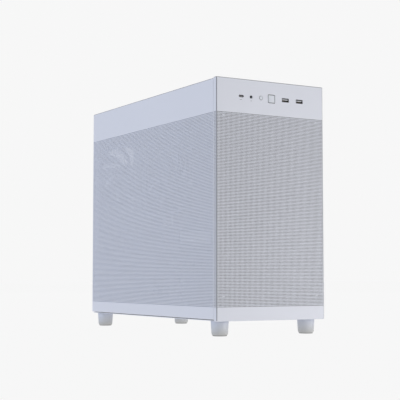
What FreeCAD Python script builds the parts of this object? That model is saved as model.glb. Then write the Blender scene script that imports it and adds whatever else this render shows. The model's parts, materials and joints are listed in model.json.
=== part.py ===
"""Desktop computer tower: a steel case with perforated lift-off panels and the computer inside it.

Millimetres. X runs from the left panel to the right one, Y from the front panel to the rear,
Z up. The origin is on the ground, under the middle of the whole machine.
Heights written as up(n) count from the case's underside, depths written as back(n) from its front.
"""
import FreeCAD, Part
import math
import os
import re
import Sketcher
from FreeCAD import Placement, Rotation, Vector

SIZES = {
    # case and sheet metal
    "case_w": 205, "case_d": 460, "case_h": 381.5, "foot_h": 23.5, "overhang": 6.5,
    "skin": 1, "front_fold": 8, "panel_start": 9, "side_fold": 5, "side_low": 2.5,
    "side_drop": 1.3, "lid_fold": 12, "rack_w": 194, "base_w": 200, "base_lift": 0.5,
    "rack_top": 366, "rack_front": 9, "rack_fold": 18, "rim_h": 10,
    "window_w": 170, "window_h": 296, "window_z": 180, "lid_window_w": 156,
    # clips of the panels
    "stud_rad": 1.5, "ball_rad": 2, "clip_rad": 2.4, "clip_side": 10, "clip_len": 6,
    "stud_hole": 3.2, "clip_low": 24, "clip_high": 340, "front_clip_low": 38, "front_clip_high": 322,
    # ports and buttons
    "io_z": 353.8, "usb_c_x": -56.5, "jack_x": -38.2, "reset_x": -19.4, "power_x": 0.8,
    "usb_left_x": 27.9, "usb_right_x": 55.4, "power_side": 12.5, "reset_rad": 3.2,
    "button_gap": 0.4, "cap_len": 3, "stem_len": 13, "travel": 1.5, "guide_gap": 0.06,
    "power_stem": 2.5, "reset_stem": 2, "usb_a_w": 13.1, "usb_a_t": 5.8, "usb_a_d": 17,
    "usb_c_w": 9, "usb_c_t": 3.3, "usb_c_d": 9, "jack_rad": 1.8, "jack_side": 5.8, "jack_d": 14,
    "shell": 0.4, "tongue_t": 1.9, "port_deep": 8, "port_mouth": 3.4, "port_gap": 0.3, "bezel_t": 2,
    "io_board_w": 128, "io_board_d": 24, "light_x": -19.4, "light_z": 346.5, "light_rad": 0.8,
    # feet
    "foot_x": 82.5, "foot_front": 24, "foot_rear": 443, "foot_top_rad": 14.2,
    "foot_low_rad": 12.9, "pad_t": 2, "pad_rad": 11.5, "pad_sunk": 1,
    # fans
    "fan_side": 120, "fan_t": 25, "fan_bore": 58.5, "fan_tip": 57, "fan_hub": 19.5,
    "fan_hub_t": 20, "motor_t": 3, "fan_hole": 2.15, "fan_pitch": 105, "shaft_rad": 1.5,
    "shaft_hole": 1.55, "shaft_len": 2.4, "blade_t": 1.6, "blade_inset": 3, "blade_sunk": 3, "wire_rad": 0.8,
    "rear_fan_x": -35.5, "rear_fan_z": 265, "cooler_fan_x": -12, "cooler_fan_z": 245,
    # motherboard and what it carries
    "tray_x": 80, "board_x": 71.9, "board_t": 1.6, "board_side": 244, "board_low": 85,
    "standoff_rad": 3, "board_hole": 1.98, "screw_rad": 1.5, "screw_head": 3.2, "head_t": 2,
    "slot_z": 150, "slot_step": 20.32, "slot_w": 98, "slot_t": 14, "cover_w": 118,
    "cover_t": 0.9, "cover_h": 18.4, "cover_x": 1, "thumb_x": -52, "thumb_rad": 4.5,
    "thumb_hole": 1.8, "rear_io_w": 44.5, "rear_io_h": 152, "rear_io_x": 49.25, "rear_io_z": 244,
    # power supply
    "supply_w": 150, "supply_t": 86, "supply_h": 140, "supply_x": -10, "supply_back": 22,
    "supply_low": 178, "supply_bore": 62, "recess_t": 28, "supply_tip": 60, "supply_hub_t": 23,
    "inlet_x": 40, "inlet_z": 40, "inlet_w": 27.2, "inlet_h": 19.6, "inlet_wall": 1.3,
    "socket_x": 20, "socket_back": 65, "switch_x": -30, "rocker_tilt": 7, "lead_rad": 3.5,
    "main_cable_rad": 5.5, "panel_cable_rad": 2.5,
    # graphics card
    "card_len": 237, "card_w": 105, "card_gap": 11, "card_fan_rad": 42, "card_hub": 12,
    "card_hub_t": 15, "card_fan_back": 300, "card_fan_step": 92, "card_x": 6,
    "card_base_t": 3, "card_fin_h": 16, "card_post_h": 19.2, "card_middle": 335,
    "shroud_w": 102, "shroud_len": 222, "shroud_h": 38, "shroud_wall": 2, "shroud_back": 333,
    "video_w": 17, "video_t": 5.4, "video_step": 22, "video_x": -8,
}
document = FreeCAD.newDocument("desktop_tower")
sheet = document.addObject("Spreadsheet::Sheet", "dims")
for row, (alias, size) in enumerate(SIZES.items(), 1):
    sheet.set(f"A{row}", alias)
    sheet.set(f"B{row}", str(size))
    sheet.setAlias(f"B{row}", alias)
document.recompute()
nodes = {}

FRONT = "(0 - (case_d + overhang) / 2)"
REAR = f"({FRONT} + case_d)"
MIDDLE = f"({FRONT} + case_d / 2)"
RACK_TOP = "(foot_h + rack_top)"
AXES = {
    "X": Rotation(Vector(0, 1, 0), 90),
    "-X": Rotation(Vector(0, 1, 0), -90),
    "Y": Rotation(Vector(1, 0, 0), -90),
    "Z": Rotation(),
    "-Y": Rotation(Vector(1, 0, 0), 90),
    "-Z": Rotation(Vector(1, 0, 0), 180),
}
PLANES = {"X": ("YZ_Plane", False), "Y": ("XZ_Plane", True), "Z": ("XY_Plane", False)}


def back(distance):
    """Depth behind the front panel's face."""
    return f"({FRONT} + {distance})"


def up(distance):
    """Height above the underside of the case."""
    return f"(foot_h + {distance})"


def written(expression):
    """The expression with every alias spelled out for the sheet."""
    def spelled(found):
        return f"dims.{found[0]}" if found[0] in SIZES else found[0]
    return re.sub(r"[a-z_]+", spelled, str(expression))


def bind(item, **sizes):
    for name, expression in sizes.items():
        item.setExpression(name, written(expression))


def place(item, at, rotation=Rotation()):
    item.Placement = Placement(Vector(), rotation)
    for axis, expression in zip("xyz", at):
        item.setExpression(f"Placement.Base.{axis}", written(expression))
    return item


def box(size, centre):
    """A block from its three sizes and its centre."""
    block = document.addObject("Part::Box", "block")
    bind(block, Length=size[0], Width=size[1], Height=size[2])
    return place(block, [f"{middle} - ({side}) / 2" for middle, side in zip(centre, size)])


def rod(radius, length, start, axis="Z"):
    """A cylinder that starts at a point and runs along an axis."""
    solid = document.addObject("Part::Cylinder", "rod")
    bind(solid, Radius=radius, Height=length)
    return place(solid, start, AXES[axis])


def ball(radius, centre, axis):
    solid = document.addObject("Part::Sphere", "ball")
    bind(solid, Radius=radius)
    return place(solid, centre, AXES[axis])


def ring(radius, wire, centre, axis):
    solid = document.addObject("Part::Torus", "ring")
    bind(solid, Radius1=radius, Radius2=wire)
    return place(solid, centre, AXES[axis])


def fused(solids):
    if len(solids) == 1:
        return solids[0]
    union = document.addObject("Part::MultiFuse", "union")
    union.Shapes = solids
    return union


def cut(base, tools):
    result = document.addObject("Part::Cut", "cut")
    result.Base = base
    result.Tool = fused(tools)
    return result


def group(solids):
    """Separate solids that share one node."""
    bundle = document.addObject("Part::Compound", "bundle")
    bundle.Links = solids
    return bundle


def node(name, item):
    item.Label = name
    nodes[name] = item
    return item


def origin_feature(body, role):
    return next(feature for feature in body.Origin.OriginFeatures if feature.Role == role)


def new_sketch(body, plane, name):
    sketch = body.newObject("Sketcher::SketchObject", name)
    sketch.AttachmentSupport = [(origin_feature(body, plane), "")]
    sketch.MapMode = "FlatFace"
    return sketch


def measured(sketch, kind, ends, expression):
    index = sketch.addConstraint(Sketcher.Constraint(kind, *ends, 10.0))
    sketch.setExpression(f"Constraints[{index}]", written(expression))


def add_rectangle(sketch, w, h, x=0, y=0):
    """A rectangle held by its size and by the place of its centre."""
    first = len(sketch.Geometry)
    corners = [Vector(-5, -5, 0), Vector(5, -5, 0), Vector(5, 5, 0), Vector(-5, 5, 0)]
    for start, end in zip(corners, corners[1:] + corners[:1]):
        sketch.addGeometry(Part.LineSegment(start, end), False)
    for side in range(4):
        joint = (first + side, 2, first + (side + 1) % 4, 1)
        sketch.addConstraint(Sketcher.Constraint("Coincident", *joint))
    for side in (0, 2):
        sketch.addConstraint(Sketcher.Constraint("Horizontal", first + side))
        sketch.addConstraint(Sketcher.Constraint("Vertical", first + side + 1))
    sketch.addGeometry(Part.Point(Vector(0, 0, 0)), True)
    centre = first + 4
    sketch.addConstraint(Sketcher.Constraint("Symmetric", first, 1, first + 1, 2, centre, 1))
    measured(sketch, "DistanceX", (first, 1, first, 2), w)
    measured(sketch, "DistanceY", (first + 1, 1, first + 1, 2), h)
    measured(sketch, "DistanceX", (-1, 1, centre, 1), x)
    measured(sketch, "DistanceY", (-1, 1, centre, 1), y)


def add_circle(sketch, radius, x=0, y=0):
    index = len(sketch.Geometry)
    sketch.addGeometry(Part.Circle(Vector(0, 0, 0), Vector(0, 0, 1), 5), False)
    measured(sketch, "Radius", (index,), radius)
    measured(sketch, "DistanceX", (-1, 1, index, 3), x)
    measured(sketch, "DistanceY", (-1, 1, index, 3), y)


def pad(body, axis, side, length, rectangles, circles=(), offset="0"):
    """Pads one sketch of rectangles and circles, the first one being the outline."""
    plane, turned = PLANES[axis]
    sketch = new_sketch(body, plane, "outline")
    for rectangle in rectangles:
        add_rectangle(sketch, *rectangle)
    for circle in circles:
        add_circle(sketch, *circle)
    if offset != "0":
        bind(sketch, **{"AttachmentOffset.Base.z": offset})
    feature = body.newObject("PartDesign::Pad", "pad")
    feature.Profile = sketch
    feature.Reversed = turned != (side < 0)
    bind(feature, Length=length)
    sketch.Visibility = False
    return feature


def plate(name, axis, side, outline, thickness, centre, windows=(), holes=()):
    """A flat sheet across an axis, with rectangular windows and round holes."""
    body = document.addObject("PartDesign::Body", name)
    pad(body, axis, side, thickness, [outline, *windows], holes)
    return node(name, place(body, centre))


def tray(name, axis, side, outline, fold, centre, windows=(), holes=(), rim=None):
    """A sheet with a folded rim on all four sides."""
    body = document.addObject("PartDesign::Body", name)
    pad(body, axis, side, "skin", [outline, *windows], holes)
    w, h, x, y = rim or (*outline, 0, 0)
    inner = (f"{w} - 2 * skin", f"{h} - 2 * skin", x, y)
    pad(body, axis, side, fold, [(w, h, x, y), inner])
    return node(name, place(body, centre))


# ---- outer panels -------------------------------------------------------------------------

PORTS = {"usb_left_x": ("usb_a_w", "usb_a_t"), "usb_right_x": ("usb_a_w", "usb_a_t"),
         "usb_c_x": ("usb_c_w", "usb_c_t")}


def port_windows(level, gap="port_gap"):
    """Holes round the ports: their places across X, at a height within the sketch."""
    return [(f"{w} + 2 * {gap}", f"{t} + 2 * {gap}", x, level) for x, (w, t) in PORTS.items()]


def outer_panels():
    level = "io_z - case_h / 2"
    power = "power_side + 2 * button_gap"
    tray("front_panel", "Y", 1, ("case_w", "case_h"), "front_fold",
         ("0", FRONT, up("case_h / 2")),
         [*port_windows(level), (power, power, "power_x", level)],
         [("reset_rad + button_gap", "reset_x", level), ("jack_side / 2 + port_gap", "jack_x", level),
          ("light_rad + 0.1", "light_x", "light_z - case_h / 2")])
    deep = "case_d - panel_start"
    middle = back("(panel_start + case_d) / 2")
    tall = "case_h - side_drop - side_low"
    height = up("(case_h - side_drop + side_low) / 2")
    tray("left_side_panel", "X", 1, (deep, tall), "side_fold", ("0 - case_w / 2", middle, height))
    tray("right_side_panel", "X", -1, (deep, tall), "side_fold", ("case_w / 2", middle, height))
    tray("top_panel", "Z", -1, ("rack_w", deep), "lid_fold",
         ("0", middle, up("case_h - side_drop")))


def stud(root, axis, side, length):
    """A panel's stud with a ball end; its root is on the panel's inner face."""
    step = ["0", "0", "0"]
    step["XYZ".index(axis)] = f"{side} * ({length})"
    tip = [f"{base} + {move}" for base, move in zip(root, step)]
    outward = axis if side > 0 else f"-{axis}"
    return fused([rod("stud_rad", length, root, outward), ball("ball_rad", tip, outward)])


def clip(centre, axis):
    """A socket block bored for a stud's ball."""
    size = ["clip_side", "clip_side", "clip_side"]
    size["XYZ".index(axis)] = "clip_len"
    start = list(centre)
    start["XYZ".index(axis)] = f"{centre['XYZ'.index(axis)]} - clip_len"
    return cut(box(size, centre), [rod("clip_rad", "2 * clip_len", start, axis)])


SIDE_CLIPS = [(back("rack_front + rack_fold / 2 + 1"), up("clip_low")),
              (back("rack_front + rack_fold / 2 + 1"), up("clip_high")),
              (back("case_d - 10"), up("clip_low")), (back("case_d - 10"), up("clip_high"))]
FRONT_CLIPS = [(f"{side} * (rack_w / 2 - 8)", up(level))
               for side in (-1, 1) for level in ("front_clip_low", "front_clip_high")]
LID_CLIP_DEPTHS = (60, 400)
LID_CLIPS = [(f"{side} * (rack_w / 2 - 9)", back(depth)) for side in (-1, 1) for depth in LID_CLIP_DEPTHS]
RACK_LID_CLIPS = [f"{depth} - (case_d / 2 + 3.5)" for depth in LID_CLIP_DEPTHS]


def panel_clips():
    reach = "(case_w / 2 - skin) - (rack_w / 2 - skin - clip_len / 2)"
    sockets = []
    for name, side in (("left", -1), ("right", 1)):
        face = f"{side} * (case_w / 2 - skin)"
        studs = [stud((face, y, z), "X", -side, reach) for y, z in SIDE_CLIPS]
        node(f"{name}_panel_studs", group(studs))
        middle = f"{side} * (rack_w / 2 - skin - clip_len / 2)"
        sockets += [clip((middle, y, z), "X") for y, z in SIDE_CLIPS]
    front_reach = "rack_front + clip_len / 2"
    studs = [stud((x, back("skin"), z), "Y", 1, front_reach) for x, z in FRONT_CLIPS]
    node("front_panel_studs", group(studs))
    sockets += [clip((x, back("rack_front + skin + clip_len / 2"), z), "Y") for x, z in FRONT_CLIPS]
    lid_reach = "case_h - side_drop - skin - rack_top + clip_len / 2"
    lid = up("case_h - side_drop - skin")
    studs = [stud((x, y, lid), "Z", -1, lid_reach) for x, y in LID_CLIPS]
    node("top_panel_studs", group(studs))
    sockets += [clip((x, y, up("rack_top - clip_len / 2")), "Z") for x, y in LID_CLIPS]
    node("panel_sockets", group(sockets))


# ---- steel rack ---------------------------------------------------------------------------


def side_clip_holes(body, depths):
    """Holes through both side folds of a rack sheet for the side panels' studs."""
    tools = [rod("stud_hole", "rack_w + 20", ("0 - rack_w / 2 - 10", y, z), "X")
             for y, z in SIDE_CLIPS if y in depths]
    return cut(body, tools)


def rack():
    rim = ("rack_w - 2 * skin - 1", "case_d - 2 * rack_front - 2 * rack_fold - 3", 0, 0)
    deep = "case_d - 2 * rack_front + 8"
    middle = back("case_d / 2 + 3.5")
    tray("chassis_base", "Z", 1, ("base_w", deep), "rim_h", ("0", middle, up("base_lift")), rim=rim)
    tray("top_frame", "Z", -1, ("rack_w", deep), "rim_h",
         ("0", middle, up("rack_top + skin")),
         [("lid_window_w", "case_d - 75", 0, 0)],
         [("stud_hole", f"{side} * (rack_w / 2 - 9)", depth)
          for side in (-1, 1) for depth in RACK_LID_CLIPS], rim=rim)
    tall = "rack_top - base_lift - skin"
    height = up("(rack_top + base_lift + skin) / 2")
    origin = "(rack_top + base_lift + skin) / 2"
    front = tray("front_frame", "Y", 1, ("rack_w", tall), "rack_fold", ("0", back("rack_front"), height),
                 [("window_w", "window_h", 0, f"window_z - {origin}"),
                  ("io_board_w + 8", "18", 0, f"io_z - {origin}")],
                 [("stud_hole", f"{side} * (rack_w / 2 - 8)", f"{level} - {origin}")
                  for side in (-1, 1) for level in ("front_clip_low", "front_clip_high")])
    node("front_frame", side_clip_holes(front, {SIDE_CLIPS[0][0]}))
    corners = [(side, end) for side in (-1, 1) for end in (-1, 1)]
    fan_holes = [("fan_hole", f"rear_fan_x + {side} * fan_pitch / 2",
                  f"rear_fan_z - {origin} + {end} * fan_pitch / 2") for side, end in corners]
    slots = [("slot_w", "slot_t", "cover_x + 6", f"slot_z - {origin} - {row} * slot_step")
             for row in range(4)]
    thumb_holes = [("thumb_hole", "thumb_x", f"slot_z - {origin} - {row} * slot_step")
                   for row in range(4)]
    rear = tray("rear_panel", "Y", -1, ("rack_w", tall), "rack_fold", ("0", REAR, height),
                [("rear_io_w", "rear_io_h", "rear_io_x", f"rear_io_z - {origin}"),
                 ("inlet_w + 0.4", "inlet_h + 0.4", "inlet_x", f"inlet_z - {origin}"), *slots],
                [("fan_bore - 1", "rear_fan_x", f"rear_fan_z - {origin}"), *fan_holes, *thumb_holes])
    node("rear_panel", side_clip_holes(rear, {SIDE_CLIPS[2][0]}))
    plate("motherboard_tray", "X", 1, ("264", "332"), "skin", ("tray_x", back("309"), up("186")),
          [("110", "100", "40", "56")], [("13", "0 - 112", "0 - 60"), ("13", "0 - 112", "80")])
    plate("power_supply_bracket", "Z", -1, ("rack_w - 2 * skin", "100"), "skin",
          ("0", back("62"), up("supply_low")), [("120", "50", "supply_x", "0")])


# ---- front ports and buttons --------------------------------------------------------------


def hollow_port(w, t, d, x, mouth):
    """A metal shell with a tongue, open towards the front."""
    start = back(f"{mouth} + ({d}) / 2")
    shell = box((w, d, t), (x, start, up("io_z")))
    hollow = box((f"{w} - 2 * shell", "port_deep * 2", f"{t} - 2 * shell"),
                 (x, back(mouth), up("io_z")))
    return cut(shell, [hollow])


def front_ports():
    usb = []
    for x in ("usb_left_x", "usb_right_x"):
        shell = hollow_port("usb_a_w", "usb_a_t", "usb_a_d", x, "0.3")
        tongue = box(("usb_a_w - 2", "port_deep", "tongue_t"),
                     (x, back("0.3 + port_deep / 2 + 1"), up("io_z + 0.6")))
        usb.append(fused([shell, tongue]))
    node("usb_a_ports", group(usb))
    shell = hollow_port("usb_c_w", "usb_c_t", "usb_c_d", "usb_c_x", "0.3")
    tongue = box(("usb_c_w - 2.4", "port_deep - 1", "0.7"),
                 ("usb_c_x", back("0.3 + port_deep / 2 + 0.5"), up("io_z")))
    base = box(("usb_c_w", "5", "1.8"), ("usb_c_x", back("15"), up("io_z - 2")))
    block = box(("usb_c_w", "8.5", "usb_c_t"), ("usb_c_x", back("13.2"), up("io_z")))
    node("usb_c_port", fused([shell, tongue, block, base]))
    collar = rod("jack_side / 2", "12", ("jack_x", back("0.3"), up("io_z")), "Y")
    bodyblock = box(("jack_side", "jack_d", "jack_side"),
                    ("jack_x", back("12.3 + jack_d / 2"), up("io_z")))
    bore = rod("jack_rad", "jack_d + 10", ("jack_x", back("0"), up("io_z")), "Y")
    node("audio_jack", cut(fused([collar, bodyblock]), [bore]))
    top = "io_z - usb_a_t / 2"
    pcb = box(("io_board_w", "io_board_d", "board_t"),
              ("0", back("12.5 + io_board_d / 2"), up(f"{top} - board_t / 2")))
    contact = back("cap_len + stem_len + travel + 0.15 + 2.5")
    switches = [box(("6", "5", "usb_a_t"), (x, contact, up("io_z"))) for x in ("power_x", "reset_x")]
    header = box(("20", "6", "7"), ("52", back("33.5"), up(f"{top} - board_t - 3.5")))
    node("front_io_board", fused([pcb, header, *switches]))
    origin = "io_z"
    plate("front_io_bezel", "Y", 1, ("io_board_w + 16", "22"), "bezel_t",
          ("0", back("rack_front + skin"), up(origin)),
          [*port_windows("0"), ("jack_side + 2 * port_gap", "jack_side + 2 * port_gap", "jack_x", "0")],
          [("power_stem + guide_gap", "power_x", "0"), ("reset_stem + guide_gap", "reset_x", "0"),
           ("light_rad + 0.1", "light_x", "light_z - io_z")])
    node("drive_light", rod("light_rad", "16", ("light_x", back("0"), up("light_z")), "Y"))


def buttons():
    for name, x, stem in (("power", "power_x", "power_stem"), ("reset", "reset_x", "reset_stem")):
        body = document.addObject("PartDesign::Body", f"{name}_button")
        if name == "power":
            pad(body, "Y", 1, "cap_len", [("power_side", "power_side")])
        else:
            pad(body, "Y", 1, "cap_len", [], [("reset_rad",)])
        pad(body, "Y", 1, "cap_len + stem_len", [], [(stem,)])
        node(f"{name}_button", place(body, (x, FRONT, up("io_z"))))


# ---- feet ---------------------------------------------------------------------------------


def feet():
    pads = []
    for end, depth in (("front", "foot_front"), ("rear", "foot_rear")):
        for side, sign in (("left", -1), ("right", 1)):
            x = f"{sign} * foot_x"
            cone = document.addObject("Part::Cone", "cone")
            bind(cone, Radius1="foot_low_rad", Radius2="foot_top_rad",
                 Height="foot_h + base_lift - pad_t + pad_sunk")
            place(cone, (x, back(depth), "pad_t - pad_sunk"))
            recess = rod("pad_rad", "pad_sunk", (x, back(depth), "pad_t - pad_sunk"))
            node(f"foot_{end}_{side}", cut(cone, [recess]))
            pads.append(rod("pad_rad", "pad_t", (x, back(depth), "0")))
    node("foot_pads", group(pads))


# ---- fans ---------------------------------------------------------------------------------


def fan_rotor(name, tip, hub, thick, blades, root_angle, tip_angle, centre, axis, shaft="shaft_len"):
    """A hub with lofted blades and a shaft; the blades' sizes come from the sheet's radii."""
    body = document.addObject("PartDesign::Body", name)
    pad(body, "Z", 1, thick, [], [(hub,)])
    pad(body, "Z", -1, shaft, [], [("shaft_rad",)])
    height = SIZES[thick]
    blade_half = SIZES["blade_t"] / 2
    stations = []
    for label, radius, angle in (("blade_root", hub, root_angle), ("blade_tip", tip, tip_angle)):
        chord = (height - SIZES["blade_inset"]) / math.sin(math.radians(angle))
        section = new_sketch(body, "YZ_Plane", label)
        lean = Rotation(Vector(0, 0, 1), angle)
        corners = [lean.multVec(Vector(x * chord / 2, y * blade_half, 0))
                   for x, y in ((-1, -1), (1, -1), (1, 1), (-1, 1))]
        for start, end in zip(corners, corners[1:] + corners[:1]):
            section.addGeometry(Part.LineSegment(start, end), False)
        for side in range(4):
            section.addConstraint(Sketcher.Constraint("Coincident", side, 2, (side + 1) % 4, 1))
        half_width = max(corner.x for corner in corners)
        place_out = f"sqrt({radius}^2 - {half_width:.2f}^2)"
        if label == "blade_root":
            place_out = f"{radius} - blade_sunk"
        bind(section, **{"AttachmentOffset.Base.z": place_out,
                         "AttachmentOffset.Base.y": f"{thick} / 2"})
        stations.append(section)
    loft = body.newObject("PartDesign::AdditiveLoft", "blade")
    loft.Profile = stations[0]
    loft.Sections = [stations[1]]
    loft.Ruled = True
    document.recompute()
    pattern = body.newObject("PartDesign::PolarPattern", "blades")
    pattern.Originals = [loft]
    pattern.Axis = (origin_feature(body, "Z_Axis"), [""])
    pattern.Angle = 360
    pattern.Occurrences = blades
    body.Tip = pattern
    node(name, place(body, centre, AXES[axis]))


def fan_frame(name, centre, axis):
    """A square frame with a motor seat on four struts at its near face, bored for the shaft."""
    low = "0 - fan_t / 2"
    frame = box(("fan_side", "fan_side", "fan_t"), ("0", "0", "0"))
    bore = rod("fan_bore", "fan_t + 2", ("0", "0", f"{low} - 1"))
    corners = [(side, end) for side in (-1, 1) for end in (-1, 1)]
    holes = [rod("fan_hole", "fan_t + 2",
                 (f"{side} * fan_pitch / 2", f"{end} * fan_pitch / 2", f"{low} - 1"))
             for side, end in corners]
    shell = cut(frame, [bore, *holes])
    seat = rod("fan_hub", "motor_t", ("0", "0", low))
    struts = [box(("fan_side - 2", "4", "motor_t"), ("0", "0", f"{low} + motor_t / 2")),
              box(("4", "fan_side - 2", "motor_t"), ("0", "0", f"{low} + motor_t / 2"))]
    shaft_hole = rod("shaft_hole", "motor_t + 2", ("0", "0", f"{low} - 1"))
    node(name, place(cut(fused([shell, seat, *struts]), [shaft_hole]), centre, AXES[axis]))


def guard(name, centre, rings, reach, side):
    """Concentric wire rings across Y on a cross of two wires, which lie a little to one side of them."""
    radii = [f"({reach}) * {number} / {rings}" for number in range(1, rings + 1)]
    wires = [ring(radius, "wire_rad", centre, "Y") for radius in radii]
    x, y, z = centre
    y = f"{y} + {side} * 0.4 * wire_rad"
    wires.append(rod("0.9 * wire_rad", f"2 * ({reach})", (f"{x} - ({reach})", y, z), "X"))
    wires.append(rod("0.9 * wire_rad", f"2 * ({reach})", (x, y, f"{z} - ({reach})"), "Z"))
    node(name, fused(wires))


def fans():
    rear_centre = ("rear_fan_x", back("case_d - skin - fan_t / 2"), up("rear_fan_z"))
    fan_frame("rear_fan_frame", rear_centre, "-Y")
    rear_seat = ("rear_fan_x", back("case_d - skin - motor_t - 0.6"), up("rear_fan_z"))
    fan_rotor("rear_fan_rotor", "fan_tip", "fan_hub", "fan_hub_t", 9, 48, 32, rear_seat, "-Y")
    guard("rear_fan_guard", ("rear_fan_x", back("case_d + wire_rad"), up("rear_fan_z")), 5, "fan_tip", 1)
    cooler = ("cooler_fan_x", back("310"), up("cooler_fan_z"))
    fan_frame("cooler_fan_frame", cooler, "-Y")
    seat = ("cooler_fan_x", back("310 + fan_t / 2 - motor_t - 0.6"), up("cooler_fan_z"))
    fan_rotor("cooler_fan_rotor", "fan_tip", "fan_hub", "fan_hub_t", 9, 48, 32, seat, "-Y")


# ---- motherboard --------------------------------------------------------------------------

BOARD_HOLES = [(depth, level) for depth in (222, 294, 448) for level in (92, 325)]
BOARD_HOLES += [(222, 180), (294, 186), (448, 160)]
MEMORY_DEPTHS = (240, 249.5, 259, 268.5)
MEMORY_LEVEL = 255
REAR_USB_LEVELS = (-66, -46, -26, 20, 40)
REAR_JACK_LEVELS = (56, 68)


def on_board(size, depth, level):
    """A block standing on the board: its height off the board, its depth and its height."""
    tall, deep, high = size
    return box((tall, deep, high), (f"board_x - ({tall}) / 2", back(depth), up(level)))


def motherboard():
    middle = ("board_x", back("case_d - 2 - board_side / 2"), up("board_low + board_side / 2"))
    origin = ("case_d - 2 - board_side / 2", "board_low + board_side / 2")
    plate("motherboard", "X", 1, ("board_side", "board_side"), "board_t", middle,
          holes=[("board_hole", f"{y} - ({origin[0]})", f"{z} - ({origin[1]})") for y, z in BOARD_HOLES])
    gap = "tray_x - board_x - board_t"
    posts = []
    screws = []
    for y, z in BOARD_HOLES:
        foot = ("board_x + board_t", back(y), up(z))
        post = rod("standoff_rad", gap, foot, "X")
        posts.append(cut(post, [rod("screw_rad + 0.1", "5", foot, "X")]))
        screws.append(fused([rod("screw_head", "head_t", ("board_x - head_t", back(y), up(z)), "X"),
                             rod("screw_rad", "5.5", ("board_x", back(y), up(z)), "X")]))
    node("motherboard_standoffs", group(posts))
    node("motherboard_screws", group(screws))
    face = back("case_d")
    block = box(("rear_io_w - 1", "28", "rear_io_h - 1"), ("rear_io_x", back("446"), up("rear_io_z")))
    lan = box(("11.8", "24", "9"), ("rear_io_x + 8", face, up("rear_io_z - 2")))
    usb = [box(("5.2", "2 * port_mouth", "12.6"), (f"rear_io_x + {side}", face, up(f"rear_io_z + {level}")))
           for side in (14, 5) for level in REAR_USB_LEVELS]
    jacks = [rod("jack_rad", "port_mouth",
                 ("rear_io_x + 12", back("case_d - port_mouth"), up(f"rear_io_z + {level}")), "Y")
             for level in REAR_JACK_LEVELS]
    node("rear_io_ports", cut(block, [lan, *usb, *jacks]))
    slots = [on_board(("8", "6.5", "140"), depth, MEMORY_LEVEL) for depth in MEMORY_DEPTHS]
    slots.append(on_board(("11", "89", "7.5"), 366.5, "slot_z"))
    slots.append(on_board(("11", "25", "7.5"), 398.5, "slot_z - 2 * slot_step"))
    node("board_sockets", group(slots))
    sticks = [box(("32", "5.4", "133"), ("board_x - 8 - 16", back(depth), up(MEMORY_LEVEL)))
              for depth in MEMORY_DEPTHS[1::2]]
    node("memory_modules", group(sticks))
    fins = [on_board(("15", "96", "1.6"), 350, 300 + step) for step in range(0, 20, 4)]
    top = fused([on_board(("5", "100", "20"), 350, 308.5), *fins])
    fins = [on_board(("24", "1.6", "92"), 405 + step, 266) for step in range(0, 21, 4)]
    rear = fused([on_board(("5", "23", "96"), 415.5, 266), *fins])
    node("board_heatsinks", group([top, rear, on_board(("7.5", "48", "34"), 266, 118)]))
    node("solid_state_drive", on_board(("3.4", "80", "22"), 362, 177))
    node("power_connector", fused([on_board(("13", "10", "52"), 219.5, 258),
                                   on_board(("28", "8", "50"), 219.5, 258)]))


def cpu_cooler():
    z = "cooler_fan_z"
    core = box(("20", "40", "40"), ("board_x - 10", back(348), up(z)))
    pipes = [rod("3", "118", ("cooler_fan_x - 49", back(348 + step), up(f"{z} + {level}")), "X")
             for step, level in ((-15, -12), (-5, 12), (5, -12), (15, 12))]
    fins = [box(("0.7", "50", "112"), (f"cooler_fan_x + {37 - 2.7 * number:.1f}", back(348), up(z)))
            for number in range(32)]
    node("cooler_heatsink", fused([core, *pipes, *fins]))


# ---- graphics card and slots --------------------------------------------------------------


VIDEO_PORTS = [f"video_x + {number} * video_step" for number in (-1, 0, 1)]
CARD_FANS = ["card_fan_back", "card_fan_back + card_fan_step"]


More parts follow.
